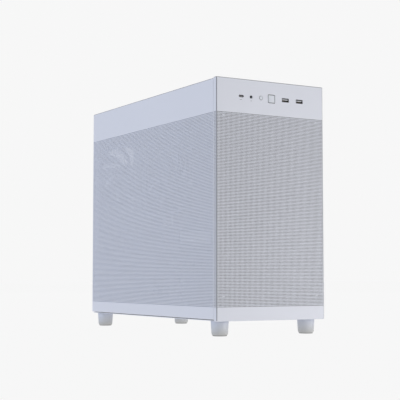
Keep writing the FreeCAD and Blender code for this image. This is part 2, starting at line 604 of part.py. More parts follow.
def graphics_card():
    """A board lying on its slot, with its heat sink, its shroud and two fans hanging under it."""
    rear = "case_d - skin - cover_t"
    middle = f"{rear} - card_len / 2 - 0.5"
    port_level = up("slot_z - (board_t + video_t) / 2")
    solids = [box(("card_w", "card_len", "board_t"),
                  ("board_x - card_gap - card_w / 2", back(middle), up("slot_z")))]
    for x in VIDEO_PORTS:
        block = box(("video_w", "13.5", "video_t"), (x, back("453"), port_level))
        mouth = box(("video_w - 2", "2 * port_mouth", "3"), (x, back("459.75"), port_level))
        solids.append(cut(block, [mouth]))
    node("graphics_board", fused(solids))
    top = "slot_z - board_t / 2"
    base = box(("96", "196", "card_base_t"), ("card_x", back("card_middle"), up(f"{top} - card_base_t / 2")))
    fin_level = up(f"{top} - card_base_t - card_fin_h / 2")
    fins = [box(("96", "0.8", "card_fin_h"), ("card_x", back(f"card_middle + {step}"), fin_level))
            for step in range(-96, 97, 4)]
    posts = [rod("card_hub", "card_post_h", ("card_x", back(depth), up(f"{top} - card_post_h")))
             for depth in CARD_FANS]
    bores = [rod("shaft_hole", "4", ("card_x", back(depth), up(f"{top} - card_post_h - 0.8")))
             for depth in CARD_FANS]
    node("graphics_heatsink", cut(fused([base, *posts, *fins]), bores))
    shell = box(("shroud_w", "shroud_len", "shroud_h"),
                ("card_x", back("shroud_back"), up(f"{top} - shroud_h / 2")))
    inside = box(("shroud_w - 2 * shroud_wall", "shroud_len + 20", "shroud_h - 2 * shroud_wall"),
                 ("card_x", back("shroud_back"), up(f"{top} - shroud_h / 2 + 1.5 * shroud_wall")))
    holes = [rod("card_fan_rad + 1.5", "20", ("card_x", back(depth), up(f"{top} - shroud_h - 12")))
             for depth in CARD_FANS]
    node("graphics_shroud", cut(shell, [inside, *holes]))
    for number, depth in enumerate(CARD_FANS, 1):
        seat = ("card_x", back(depth), up(f"{top} - card_post_h - 0.6"))
        fan_rotor(f"graphics_fan_rotor_{number}", "card_fan_rad", "card_hub", "card_hub_t", 11, 42, 30,
                  seat, "-Z", "2.2")


def slot_covers():
    covers = []
    depth = back("case_d - skin - cover_t / 2")
    for row in (2, 3):
        level = up(f"slot_z - {row} * slot_step")
        sheet_plate = box(("cover_w", "cover_t", "cover_h"), ("cover_x", depth, level))
        hole = rod("thumb_hole", "4", ("thumb_x", back("case_d - 4"), level), "Y")
        covers.append(cut(sheet_plate, [hole]))
    node("slot_covers", group(covers))
    level = up("slot_z - slot_step / 2")
    bracket = box(("cover_w", "cover_t", "cover_h + slot_step"), ("cover_x", depth, level))
    holes = [rod("thumb_hole", "4",
                 ("thumb_x", back("case_d - 4"), up(f"slot_z - {row} * slot_step")), "Y")
             for row in (0, 1)]
    mouths = [box(("video_w + 0.4", "4", "video_t + 0.4"),
                  (x, back("458"), up("slot_z - (board_t + video_t) / 2"))) for x in VIDEO_PORTS]
    node("graphics_bracket", cut(bracket, [*holes, *mouths]))
    screws = []
    for row in range(4):
        level = up(f"slot_z - {row} * slot_step")
        head = rod("thumb_rad", "overhang", ("thumb_x", REAR, level), "Y")
        shank = rod("thumb_hole - 0.1", "6", ("thumb_x", back("case_d - 6"), level), "Y")
        screws.append(fused([head, shank]))
    node("thumb_screws", group(screws))


# ---- power supply -------------------------------------------------------------------------


def power_supply():
    level = "supply_low + supply_h / 2"
    body = box(("supply_w", "supply_t", "supply_h"),
               ("supply_x", back("supply_back + supply_t / 2"), up(level)))
    recess = rod("supply_bore", "recess_t + 1", ("supply_x", back("supply_back - 1"), up(level)), "Y")
    bore = rod("shaft_hole", "recess_t + 4", ("supply_x", back("supply_back"), up(level)), "Y")
    rocker = box(("15", "11", "20"), ("switch_x", back("socket_back"), up("supply_low")))
    node("power_supply_housing", cut(body, [recess, bore, rocker]))
    seat = ("supply_x", back("supply_back + recess_t - 1"), up(level))
    fan_rotor("power_supply_fan_rotor", "supply_tip", "fan_hub", "supply_hub_t", 7, 42, 28, seat, "-Y", "4")
    guard("power_supply_guard", ("supply_x", back("supply_back - wire_rad"), up(level)), 6,
          "supply_tip + 2", -1)
    barrel = rod("4", "9", ("0", "0 - 4.5", "0"), "Y")
    paddle = box(("13", "9", "2"), ("0", "0", "0 - 4.6"))
    neck = box(("5", "9", "4"), ("0", "0", "0 - 2.5"))
    pivot = ("switch_x", back("socket_back"), up("supply_low + 6"))
    node("power_supply_switch", place(fused([barrel, paddle, neck]), pivot,
                                      Rotation(Vector(0, 1, 0), SIZES["rocker_tilt"])))
    flange = box(("inlet_w + 4", "2.5", "inlet_h + 4"), ("inlet_x", back("case_d + 1.25"), up("inlet_z")))
    shell = box(("inlet_w", "22", "inlet_h"), ("inlet_x", back("case_d - 11"), up("inlet_z")))
    hollow = box(("inlet_w - 2 * inlet_wall", "30", "inlet_h - 2 * inlet_wall"),
                 ("inlet_x", back("case_d + 2.5"), up("inlet_z")))
    pins = [box(("2", "8", "4"), (f"inlet_x + {x}", back("case_d - 8.5"), up(f"inlet_z + {z}")))
            for x, z in ((-7, -2), (0, 2), (7, -2))]
    node("power_inlet", fused([cut(fused([flange, shell]), [hollow]), *pins]))


# ---- cables -------------------------------------------------------------------------------


def smooth_wire(points):
    """Straight runs joined by tangent arcs as large as the runs allow."""
    edges = []
    radii = []
    last = points[0]
    for before, corner, after in zip(points, points[1:], points[2:]):
        inward = (corner - before).normalize()
        outward = (after - corner).normalize()
        half = inward.getAngle(outward) / 2
        reach = 0.45 * min((corner - before).Length, (after - corner).Length)
        radii.append(reach / math.tan(half))
        start = corner - inward * reach
        end = corner + outward * reach
        towards = (outward - inward).normalize()
        middle = corner + towards * (radii[-1] / math.cos(half) - radii[-1])
        edges.append(Part.LineSegment(last, start).toShape())
        edges.append(Part.Arc(start, middle, end).toShape())
        last = end
    edges.append(Part.LineSegment(last, points[-1]).toShape())
    print("arc radii", [round(radius, 1) for radius in radii])
    return Part.Wire(edges)


def cable(name, radius, points):
    """A cable held inside the case, through points given across, behind the front and above the underside."""
    front = -(SIZES["case_d"] + SIZES["overhang"]) / 2
    route = [Vector(x, front + y, SIZES["foot_h"] + z) for x, y, z in points]
    path = smooth_wire(route)
    profile = Part.Wire(Part.makeCircle(radius, route[0], (route[1] - route[0]).normalize()))
    tube = path.makePipeShell([profile], True, False)
    expected = math.pi * radius ** 2 * path.Length
    print(name, "length", round(path.Length, 1), "volume ratio", round(tube.Volume / expected, 4))
    item = document.addObject("Part::Feature", name)
    item.Shape = tube
    node(name, item)


def cables():
    inlet_lead = [(40, 438, 40), (40, 400, 40), (42, 345, 27), (47, 275, 20), (44, 195, 18),
                  (45, 120, 23), (29, 77, 42), (20, 65, 86), (20, 65, 132)]
    cable("inlet_lead", SIZES["lead_rad"], inlet_lead)
    plug = box(("24", "16", "30"), ("socket_x", back("socket_back"), up("supply_low - 15")))
    boot = document.addObject("Part::Cone", "boot")
    bind(boot, Radius1="lead_rad + 0.5", Radius2="7", Height="16")
    place(boot, ("socket_x", back("socket_back"), up("supply_low - 46")))
    node("lead_plug", fused([plug, boot]))
    main_cable = [(35, 70, 318), (35, 70, 345), (34, 118, 349), (26, 176, 318), (12, 208, 278),
                  (16, 219.5, 258), (43.9, 219.5, 258)]
    cable("main_power_cable", SIZES["main_cable_rad"], main_cable)
    panel_cable = [(52, 36.5, 340), (62, 60, 334), (84, 105, 300), (86, 140, 215), (72, 166, 148),
                   (56, 196, 112), (58, 219, 104), (71.9, 219, 104)]
    cable("front_panel_cable", SIZES["panel_cable_rad"], panel_cable)


def checked_and_written():
    document.recompute()
    for item in document.Objects:
        wrong = {"Invalid", "Error"} & set(item.State)
        if wrong:
            raise RuntimeError(f"{item.Name} {item.Label} is {wrong}")
    for name, item in nodes.items():
        if item.Shape.isNull() or not item.Shape.isValid() or not item.Shape.Solids:
            raise RuntimeError(f"{name} has no valid solid")
    os.makedirs("parts", exist_ok=True)
    for name, item in nodes.items():
        item.Shape.exportStep(f"parts/{name}.step")
    print(len(nodes), "nodes")


outer_panels()
panel_clips()
rack()
front_ports()
buttons()
feet()
fans()
motherboard()
cpu_cooler()
graphics_card()
slot_covers()
power_supply()
cables()
checked_and_written()
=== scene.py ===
"""Looks of the desktop tower: perforated panels, ports, buttons, feet and the computer inside.

Shapes are in millimetres; materials, camera and lights are in metres, like the frame. X is to the
right, Y from the front panel to the rear, Z up. In a place written as at(x, depth, level), depth
counts from the case's front and level from its underside.
"""
import json
from math import copysign, cos, pi, radians, sin, sqrt

import bmesh
import bpy
import numpy as np
from mathutils import Matrix, Vector


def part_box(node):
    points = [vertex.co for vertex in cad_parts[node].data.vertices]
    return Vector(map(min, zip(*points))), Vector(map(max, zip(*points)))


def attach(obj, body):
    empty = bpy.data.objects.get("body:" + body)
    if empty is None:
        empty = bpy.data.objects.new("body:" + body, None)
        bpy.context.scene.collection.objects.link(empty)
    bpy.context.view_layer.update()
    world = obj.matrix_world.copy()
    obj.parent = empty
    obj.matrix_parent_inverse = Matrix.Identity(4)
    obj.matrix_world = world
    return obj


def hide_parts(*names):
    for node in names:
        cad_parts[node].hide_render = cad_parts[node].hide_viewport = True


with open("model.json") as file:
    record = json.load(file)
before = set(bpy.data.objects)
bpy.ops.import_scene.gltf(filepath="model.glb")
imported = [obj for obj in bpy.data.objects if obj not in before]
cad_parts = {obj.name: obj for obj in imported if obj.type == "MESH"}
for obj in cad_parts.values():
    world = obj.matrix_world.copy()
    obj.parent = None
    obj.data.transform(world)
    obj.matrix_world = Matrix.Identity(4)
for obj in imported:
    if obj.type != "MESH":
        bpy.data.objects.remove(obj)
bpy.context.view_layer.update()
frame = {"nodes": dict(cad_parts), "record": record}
NODES = frame["nodes"]
RECORD = frame["record"]
SLOT_OF = {part["node"]: part["material_slot"] for part in RECORD["subparts"]}
BODY_OF = {name: body for body, names in RECORD["behaviour"]["bodies"].items() for name in names}
MM = 0.001  # metres in a millimetre
TO_METRES = Matrix.Scale(MM, 4)
TO_MM = Matrix.Scale(1 / MM, 4)
WHITE = (1, 1, 1)
SIDES = (("left", -1), ("right", 1))

# ---- sizes that the frame doesn't hold ----
PITCH = 2.3  # from hole to hole, on a square grid
HOLE_RADIUS = 0.78
HOLE_SIDES = 8
SKIN = 1.0
HOLED_SKIN = 0.5  # the sheet is thinned where it is perforated
SEAM = 0.25  # by which the front panel's folds narrow the gap to the side panels
BEND = 1.15  # outer radius of a folded edge
TOP_BAND = 53.2  # plain band above the holes
LOW_BAND = 21.3  # plain band below them
EDGE_BAND = 1.25  # least metal between the holes and a bend's outer side
TOP_PANEL_BANDS = (18, 18, 24)
RETURN_COLUMNS = 3  # of holes in the front panel's folded sides
STRIP_CELLS = 4600  # most holes in one strip of perforated sheet
REAR_DEPTH = 460  # of the rear face, from the case's front
SAME = 0.001  # places nearer than this are one


def box(node):
    """The lowest and the highest corner of a CAD node."""
    low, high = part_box(node)
    return low / MM, high / MM


def middle(node):
    low, high = box(node)
    return (low + high) / 2


def extent(node):
    low, high = box(node)
    return high - low


CASE_LOW, CASE_HIGH = box("front_panel")


def at(x, depth, level):
    return Vector((x, CASE_LOW.y + depth, CASE_LOW.z + level))


def moved(x=0, y=0, z=0):
    return Matrix.Translation((x, y, z))


def spread(count, step):
    """The places of a row of things, about 0."""
    return [(number - (count - 1) / 2) * step for number in range(count)]


def corners(x, y, across, up):
    """The places of four things at the corners of a rectangle about a point."""
    return [(x + i * across, y + j * up) for i in (-1, 1) for j in (-1, 1)]


# ---- materials ----


def dimmed(colour, share):
    return tuple(c * share for c in colour)


class Recipe:
    """A Principled material being put together from nodes. Its sizes are in metres."""

    def __init__(self, name, colour, roughness, metallic=0.0, **sockets):
        self.material = bpy.data.materials.new(name)
        self.material.use_nodes = True
        self.tree = self.material.node_tree
        self.shader = self.tree.nodes["Principled BSDF"]
        self.colour = colour
        self.feed(self.shader, Base_Color=colour, Roughness=roughness, Metallic=metallic, **sockets)
        self.place = self.add("ShaderNodeTexCoord").outputs["Object"]

    def fill(self, socket, value):
        if isinstance(value, bpy.types.NodeSocket):
            self.tree.links.new(value, socket)
        else:
            socket.default_value = (*value, 1.0) if socket.type == "RGBA" else value

    def feed(self, node, **inputs):
        """Sets or links a node's inputs, named here with _ for each space."""
        for name, value in inputs.items():
            self.fill(node.inputs[name.replace("_", " ")], value)

    def add(self, kind, **inputs):
        node = self.tree.nodes.new(kind)
        self.feed(node, **inputs)
        return node

    def noise(self, size, detail=2.0, stretch=(1, 1, 1)):
        """Noise whose grain is about size metres, stretched along an axis."""
        mapping = self.add("ShaderNodeMapping", Vector=self.place, Scale=stretch)
        return self.add("ShaderNodeTexNoise", Vector=mapping.outputs["Vector"], Scale=1 / size,
                        Detail=detail).outputs["Fac"]

    def between(self, factor, low, high, start=0.0, end=1.0):
        return self.add("ShaderNodeMapRange", Value=factor, From_Min=start, From_Max=end,
                        To_Min=low, To_Max=high).outputs["Result"]

    def mixed(self, factor, first, second):
        mix = self.tree.nodes.new("ShaderNodeMix")
        mix.data_type = "RGBA"
        self.fill(mix.inputs["Factor"], factor)
        self.fill(mix.inputs[6], first)
        self.fill(mix.inputs[7], second)
        return mix.outputs[2]

    def vary_colour(self, size, spread, stretch=(1, 1, 1)):
        """Lets the colour drift a little about its mean."""
        lighter = tuple(min(1.0, c) for c in dimmed(self.colour, 1 + spread))
        drift = self.mixed(self.noise(size, 3.0, stretch), dimmed(self.colour, 1 - spread), lighter)
        self.feed(self.shader, Base_Color=drift)
        return self

    def vary_roughness(self, size, low, high, stretch=(1, 1, 1)):
        self.feed(self.shader, Roughness=self.between(self.noise(size, 2.0, stretch), low, high))
        return self

    def bumps(self, size, depth, strength=0.5):
        bump = self.add("ShaderNodeBump", Height=self.noise(size), Strength=strength, Distance=depth)
        self.feed(self.shader, Normal=bump.outputs["Normal"])
        return self


def sheet_paint(name, colour, grain=False):
    """Powder coat without its grain, for the perforated strips, where the holes are the texture."""
    recipe = Recipe(name, colour, 0.46, Specular_IOR_Level=0.42 if grain else 0.4)
    recipe.vary_colour(0.09, 0.012).vary_roughness(0.03, 0.42, 0.52)
    return (recipe.bumps(0.0011, 0.00006, 0.35) if grain else recipe).material


def powder_coat(name, colour):
    return sheet_paint(name, colour, True)


def moulded(name, colour, roughness=0.5, grain=0.0006):
    recipe = Recipe(name, colour, roughness)
    recipe.vary_colour(0.02, 0.05).vary_roughness(0.004, roughness - 0.06, roughness + 0.08)
    return recipe.bumps(grain, 0.00005, 0.4).material


def foot_plastic(name, lit_colour, shaded_colour):
    """Moulded plastic that is more neutral and darker towards the ground, a painted shade, and lighter and
    bluer above, a painted light.
    """
    recipe = Recipe(name, lit_colour, 0.5)
    height = recipe.add("ShaderNodeSeparateXYZ", Vector=recipe.place).outputs["Z"]
    # painted light and shade: the colour runs from the shaded lower to the lit upper colour as the foot
    # rises
    rise = recipe.between(height, 0.0, 1.0, 1 * MM, 24 * MM)
    grain = recipe.mixed(recipe.noise(0.003, 3.0), dimmed(lit_colour, 0.96), lit_colour)
    recipe.feed(recipe.shader, Base_Color=recipe.mixed(rise, shaded_colour, grain))
    return recipe.vary_roughness(0.004, 0.42, 0.56).bumps(0.0007, 0.00006).material


def brushed(name, colour, roughness=0.32, along=(1, 40, 40)):
    recipe = Recipe(name, colour, roughness, 1.0).vary_colour(0.02, 0.06, along)
    return recipe.vary_roughness(0.01, roughness - 0.08, roughness + 0.1, along).material


def rubbery(name, colour):
    recipe = Recipe(name, colour, 0.8, Specular_IOR_Level=0.3)
    return recipe.vary_colour(0.004, 0.12).bumps(0.0008, 0.0001).material


def laminate(name, colour):
    """Dark solder mask with faint copper runs under it."""
    recipe = Recipe(name, colour, 0.35, Coat_Weight=0.25, Coat_Roughness=0.25)
    cells = recipe.add("ShaderNodeTexBrick", Vector=recipe.place, Scale=160, Mortar_Size=0.08,
                       Color1=colour, Color2=dimmed(colour, 1.15), Mortar=dimmed(colour, 2.1))
    recipe.feed(recipe.shader, Base_Color=cells.outputs["Color"])
    return recipe.vary_roughness(0.006, 0.3, 0.45).material


def sleeve(name, colour):
    """A braided cable sleeve."""
    recipe = Recipe(name, colour, 0.7, Sheen_Weight=0.3, Sheen_Roughness=0.4)
    weave = recipe.add("ShaderNodeTexChecker", Vector=recipe.place, Scale=900,
                       Color1=colour, Color2=dimmed(colour, 2.5))
    recipe.feed(recipe.shader, Base_Color=weave.outputs["Color"])
    return recipe.bumps(0.0012, 0.0002).material


PANEL = (0.650, 0.664, 0.728)
# painted shade: the inside of the case is coated this dark so that it looks as dim as the shade within
INTERIOR_SHADE_COLOUR = (0.034, 0.034, 0.037)
PAINT = powder_coat("panel_powder_coat", PANEL)
SHEET = sheet_paint("perforated_powder_coat", PANEL)
# painted shade: the bends are coated darker than the faces, as if they turned away from the light
BEND_SHADE = powder_coat("painted_shade_on_bends", dimmed(PANEL, 0.40))
RACK = powder_coat("rack_powder_coat", (0.62, 0.64, 0.70))
INNER_SHADE = powder_coat("inner_painted_shade", INTERIOR_SHADE_COLOUR)
INNER_SHEET_SHADE = sheet_paint("inner_perforated_painted_shade", INTERIOR_SHADE_COLOUR)
# painted shade on the walls of the front and top holes, darker than the coat outside
HOLE_WALL_SHADE = sheet_paint("painted_shade_in_holes", dimmed(PANEL, 0.26))
# painted shade tinted blue on the walls of the side panels' holes, as lit from the left
SIDE_WALL_BLUE_SHADE = sheet_paint("painted_blue_shade_in_side_holes", (0.51, 0.57, 0.74))
BUTTON = moulded("button_plastic", (0.62, 0.645, 0.70), 0.42)
BUTTON_EDGE = moulded("button_edge_plastic", (0.10, 0.105, 0.115), 0.42)
# painted light on the feet's tops and painted shade towards the ground
FOOT = foot_plastic("foot_plastic", (0.62, 0.65, 0.74), (0.44, 0.44, 0.43))
PAD = rubbery("foot_rubber", (0.16, 0.16, 0.165))
NYLON = moulded("clip_nylon", (0.72, 0.72, 0.70), 0.45)
ZINC = brushed("zinc_plate", (0.62, 0.62, 0.64), 0.3)
NICKEL = brushed("nickel_shell", (0.66, 0.65, 0.63), 0.28)
DARK_STEEL = brushed("blackened_shell", (0.055, 0.055, 0.06), 0.4)
SHIELD = brushed("shield_plate", (0.42, 0.42, 0.43), 0.36)
BLACK = moulded("black_plastic", (0.012, 0.012, 0.014), 0.42)
TONGUE = moulded("tongue_plastic", (0.42, 0.43, 0.46), 0.5)
MARK = moulded("grey_mark", (0.13, 0.135, 0.15), 0.5)
NET = rubbery("filter_net", (0.030, 0.030, 0.032))
FAN = moulded("fan_plastic", (0.022, 0.022, 0.025), 0.46)
BOARD = laminate("board_laminate", (0.012, 0.016, 0.018))
CHIP = moulded("chip_resin", (0.018, 0.018, 0.020), 0.38, 0.0003)
ALUMINIUM = brushed("bare_aluminium", (0.78, 0.79, 0.80), 0.34, (1, 60, 1))
WIRE = brushed("plated_wire", (0.74, 0.74, 0.76), 0.16)
SUPPLY = powder_coat("supply_powder_coat", (0.020, 0.020, 0.022))
SLEEVE = sleeve("cable_sleeve", (0.012, 0.012, 0.013))
BRASS = brushed("turned_brass", (0.78, 0.56, 0.24), 0.28)
COPPER = brushed("plated_copper", (0.72, 0.60, 0.52), 0.24)
LIGHT = Recipe("light_pipe", (0.80, 0.84, 0.90), 0.2, Coat_Weight=0.6).vary_colour(0.002, 0.05).material
GOLD = brushed("gilt_contacts", (0.83, 0.62, 0.25), 0.25)
JACK_LOOKS = [moulded("jack_plastic_green", (0.10, 0.42, 0.16), 0.45),
              moulded("jack_plastic_blue", (0.12, 0.30, 0.55), 0.45)]
# the inner_paint slot takes the dark painted shade of the inside
CAD_LOOKS = {
    "rack_paint": RACK, "panel_paint": PAINT, "inner_paint": INNER_SHADE, "button_plastic": BUTTON,
    "foot_plastic": FOOT, "pad_rubber": PAD, "clip_plastic": NYLON, "stud_metal": ZINC,
    "standoff_brass": BRASS, "port_metal": NICKEL, "black_plastic": BLACK, "fan_plastic": FAN,
    "board_laminate": BOARD, "bare_aluminium": ALUMINIUM, "bright_wire": WIRE,
    "supply_paint": SUPPLY, "cable_sleeve": SLEEVE, "light_pipe": LIGHT,
}


def dress_cad_nodes():
    """Gives each CAD node the procedural material of its slot in the record."""
    for name, slot in SLOT_OF.items():
        mesh = NODES[name].data
        mesh.materials.clear()
        mesh.materials.append(CAD_LOOKS[slot])


# ---- mesh tools ----


def placed(name, data):
    """Puts an object with this data into the scene."""
    item = bpy.data.objects.new(name, data)
    bpy.context.scene.collection.objects.link(item)
    return item


def piece(name, mesh, node, looks=(), stands_in=True):
    """Makes the mesh a piece that rides with a CAD node, and may stand for it."""
    for look in looks:
        mesh.materials.append(look)
    mesh.transform(TO_METRES)
    item = placed(name, mesh)
    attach(item, BODY_OF[node])
    if stands_in:
        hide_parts(node)


def outward(solid):
    """Turns the faces' normals outwards."""
    bmesh.ops.recalc_face_normals(solid, faces=solid.faces[:])


def as_mesh(solid):
    mesh = bpy.data.meshes.new("solid")
    solid.to_mesh(mesh)
    solid.free()
    return mesh


def as_solid(mesh):
    solid = bmesh.new()
    solid.from_mesh(mesh)
    return solid


def carved(mesh, cutters):
    """The mesh with the solids of the shape cutters taken away; the cut itself is made in metres."""
    base, tool = placed("base", mesh), placed("tool", cutters.mesh())
    for item in (base, tool):
        item.data.transform(TO_METRES)
    modifier = base.modifiers.new("cut", "BOOLEAN")
    modifier.operation = "DIFFERENCE"
    modifier.solver = "EXACT"
    modifier.object = tool
    result = bpy.data.meshes.new_from_object(base.evaluated_get(bpy.context.evaluated_depsgraph_get()))
    for item in (base, tool):
        bpy.data.objects.remove(item)
    result.transform(TO_MM)
    return result


def axes_matrix(origin, u, v, w):
    """Places a mesh drawn in (u, v, w) at an origin, along three axes."""
    return Matrix.Translation(origin) @ Matrix((u, v, w)).transposed().to_4x4()


def facing(origin, axis):
    """Places a mesh drawn along Z at an origin, along an axis."""
    return Matrix.Translation(origin) @ Vector(axis).to_track_quat("Z", "Y").to_matrix().to_4x4()


def from_front(x, z, depth=0.0):
    """Places a mesh drawn with Z towards the viewer at the front face, or behind it."""
    return axes_matrix((x, CASE_LOW.y + depth, z), (1, 0, 0), (0, 0, 1), (0, -1, 0))


def from_rear(x, level):
    """Places a mesh drawn with Z away from the rear face."""
    return axes_matrix(at(x, REAR_DEPTH, level), (-1, 0, 0), (0, 0, 1), (0, 1, 0))


class Shape:
    """Closed solids gathered into one mesh, each with its own look."""

    def __init__(self):
        self.bm = bmesh.new()
        self.looks = []

    def take(self, solid, look, place=Matrix(), edge_look=None):
        """Adds a solid or a mesh; its bevels, marked 1, may have a look of their own."""
        if isinstance(solid, bpy.types.Mesh):
            solid = as_solid(solid)
        for one in (look, edge_look or look):
            if one not in self.looks:
                self.looks.append(one)
        outward(solid)
        for face in solid.faces:
            face.material_index = self.looks.index(edge_look or look if face.material_index else look)
            face.smooth = True
        mesh = as_mesh(solid)
        mesh.transform(place)
        self.bm.from_mesh(mesh)
        bpy.data.meshes.remove(mesh)
        return self

    def mesh(self, sharp=32):
        mesh = as_mesh(self.bm)
        mesh.set_sharp_from_angle(angle=radians(sharp))
        for look in self.looks:
            mesh.materials.append(look)
        return mesh

    def as_piece(self, name, node, place=Matrix(), stands_in=True, sharp=32):
        """Places the gathered solids and makes them a piece."""
        mesh = self.mesh(sharp)
        mesh.transform(place)
        piece(name, mesh, node, stands_in=stands_in)


def softened(solid, bevel, sharp=35):
    """Bevels the edges that turn more than sharp degrees."""
    if bevel:
        edges = [edge for edge in solid.edges if edge.is_manifold
                 and edge.calc_face_angle(0) > radians(sharp)]
        bmesh.ops.bevel(solid, geom=edges, offset=bevel, segments=2, profile=0.5,
                        affect="EDGES", material=1, clamp_overlap=True)
    return solid


def block(size, bevel=0.0):
    solid = bmesh.new()
    bmesh.ops.create_cube(solid, size=1)
    bmesh.ops.scale(solid, vec=size, verts=solid.verts)
    return softened(solid, bevel)


def prism(outline, height, bevel=0.0):
    """An outline in X and Y raised along Z."""
    solid = bmesh.new()
    face = solid.faces.new([solid.verts.new((x, y, 0)) for x, y in outline])
    raised = bmesh.ops.extrude_face_region(solid, geom=[face])["geom"]
    verts = [item for item in raised if isinstance(item, bmesh.types.BMVert)]
    bmesh.ops.translate(solid, vec=(0, 0, height), verts=verts)
    return softened(solid, bevel)


def polar(radius, turn):
    return radius * cos(turn), radius * sin(turn)


def circle(radius, sides=32):
    return [polar(radius, 2 * pi * step / sides) for step in range(sides)]


def rounded(width, height, radius, steps=6):
    """A rectangle with round corners, about the origin."""
    points = []
    for quarter, (x, y) in enumerate(((1, 1), (-1, 1), (-1, -1), (1, -1))):
        for step in range(steps + 1):
            across, up = polar(radius, pi / 2 * (quarter + step / steps))
            points.append((x * (width / 2 - radius) + across, y * (height / 2 - radius) + up))
    return points


def cylinder(radius, height, bevel=0.0, sides=32):
    return prism(circle(radius, sides), height, bevel)


def between_rings(rings):
    """Yields the corners of each face between one ring of vertices and the next."""
    for first, second in zip(rings, rings[1:]):
        for step in range(len(first)):
            following = (step + 1) % len(first)
            yield first[step], first[following], second[following], second[step]


def lathe(profile, sides=48):
    """A solid of revolution about Z from (radius, height) points; a radius of 0 closes it."""
    solid = bmesh.new()
    rings = [[solid.verts.new((x, y, height)) for x, y in circle(radius, sides)] if radius
             else [solid.verts.new((0, 0, height))] * sides for radius, height in profile]
    for loop in between_rings(rings):
        corners = list(dict.fromkeys(loop))
        if len(corners) > 2:
            solid.faces.new(corners)
    return solid


def ring(inner, outer, low, high, sides=48):
    return lathe([(inner, low), (outer, low), (outer, high), (inner, high), (inner, low)], sides)


def tube(points, radius, sides=12):
    """A closed tube along a polyline."""
    solid = bmesh.new()
    rings = []
    for number, point in enumerate(points):
        before = points[max(number - 1, 0)]
        after = points[min(number + 1, len(points) - 1)]
        turn = (after - before).to_track_quat("Z", "Y")
        rings.append([solid.verts.new(point + turn @ Vector((x, y, 0))) for x, y in circle(radius, sides)])
    for loop in (*between_rings(rings), rings[0], rings[-1]):
        solid.faces.new(loop)
    return solid


# ---- perforated panels ----


def mesh_of(points, groups):
    """A mesh from arrays; each group holds faces of one length, whether they are smooth, and their look."""
    mesh = bpy.data.meshes.new("sheet")
    counts = [len(faces) for faces, _, _ in groups]
    lengths, smooth, looks = np.repeat([(faces.shape[1], flag, look) for faces, flag, look in groups],
                                       counts, axis=0).T
    corners = np.concatenate([faces.ravel() for faces, _, _ in groups])
    starts = np.cumsum(lengths) - lengths
    mesh.vertices.add(len(points))
    mesh.loops.add(len(corners))
    mesh.polygons.add(len(lengths))
    for rows, name, values, kind in (
            (mesh.vertices, "co", points.ravel(), np.float32),
            (mesh.loops, "vertex_index", corners, np.int32),
            (mesh.polygons, "loop_start", starts, np.int32),
            (mesh.polygons, "use_smooth", smooth, bool),
            (mesh.polygons, "material_index", looks, np.int32)):
        rows.foreach_set(name, values.astype(kind))
    mesh.update(calc_edges=True)
    return mesh


def perforated_strip(columns, rows, origin):
    """A closed sheet with a round hole in every square cell, and its outer face at w = 0.

    The inner face is marked 1 and the walls of the holes are marked 2.
    """
    corner_u, corner_v = np.meshgrid(np.arange(columns + 1), np.arange(rows + 1), indexing="ij")
    corners = np.stack([corner_u, corner_v], -1).reshape(-1, 2) * PITCH
    angles = np.radians(45 + 360 / HOLE_SIDES * np.arange(HOLE_SIDES))
    rim = HOLE_RADIUS * np.stack([np.cos(angles), np.sin(angles)], -1)
    cell = np.stack(np.meshgrid(np.arange(columns), np.arange(rows), indexing="ij"), -1).reshape(-1, 2)
    rims = ((cell[:, None] + 0.5) * PITCH + rim).reshape(-1, 2)
    flat = np.concatenate([corners, rims]) + origin
    below = len(flat)
    points = np.column_stack([np.concatenate([flat, flat]), np.repeat([0.0, -HOLED_SKIN], below)])
    faces = []

    def corner(du, dv):
        return (cell[:, 0] + du) * (rows + 1) + cell[:, 1] + dv

    def wall(one, two, smooth, look):
        faces.append((np.stack([one, two, two + below, one + below], -1), smooth, look))

    first_rim = len(corners) + HOLE_SIDES * np.arange(len(cell))
    around = [corner(1, 1), corner(0, 1), corner(0, 0), corner(1, 0)]
    quarter = HOLE_SIDES // 4
    for side in range(4):
        arc = [first_rim + (side * quarter + step) % HOLE_SIDES for step in range(quarter, -1, -1)]
        loop = np.stack([around[side], around[(side + 1) % 4], *arc], -1)
        faces.append((loop, False, 0))
        faces.append((loop[:, ::-1] + below, False, 1))
    for side in range(HOLE_SIDES):
        wall(first_rim + side, first_rim + (side + 1) % HOLE_SIDES, True, 2)
    across, along = corner_u[:, 0] * (rows + 1), corner_v[0]
    for line in (across[::-1], across + rows, along, (columns * (rows + 1) + along)[::-1]):
        wall(line[:-1], line[1:], False, 0)
    return mesh_of(points, faces)


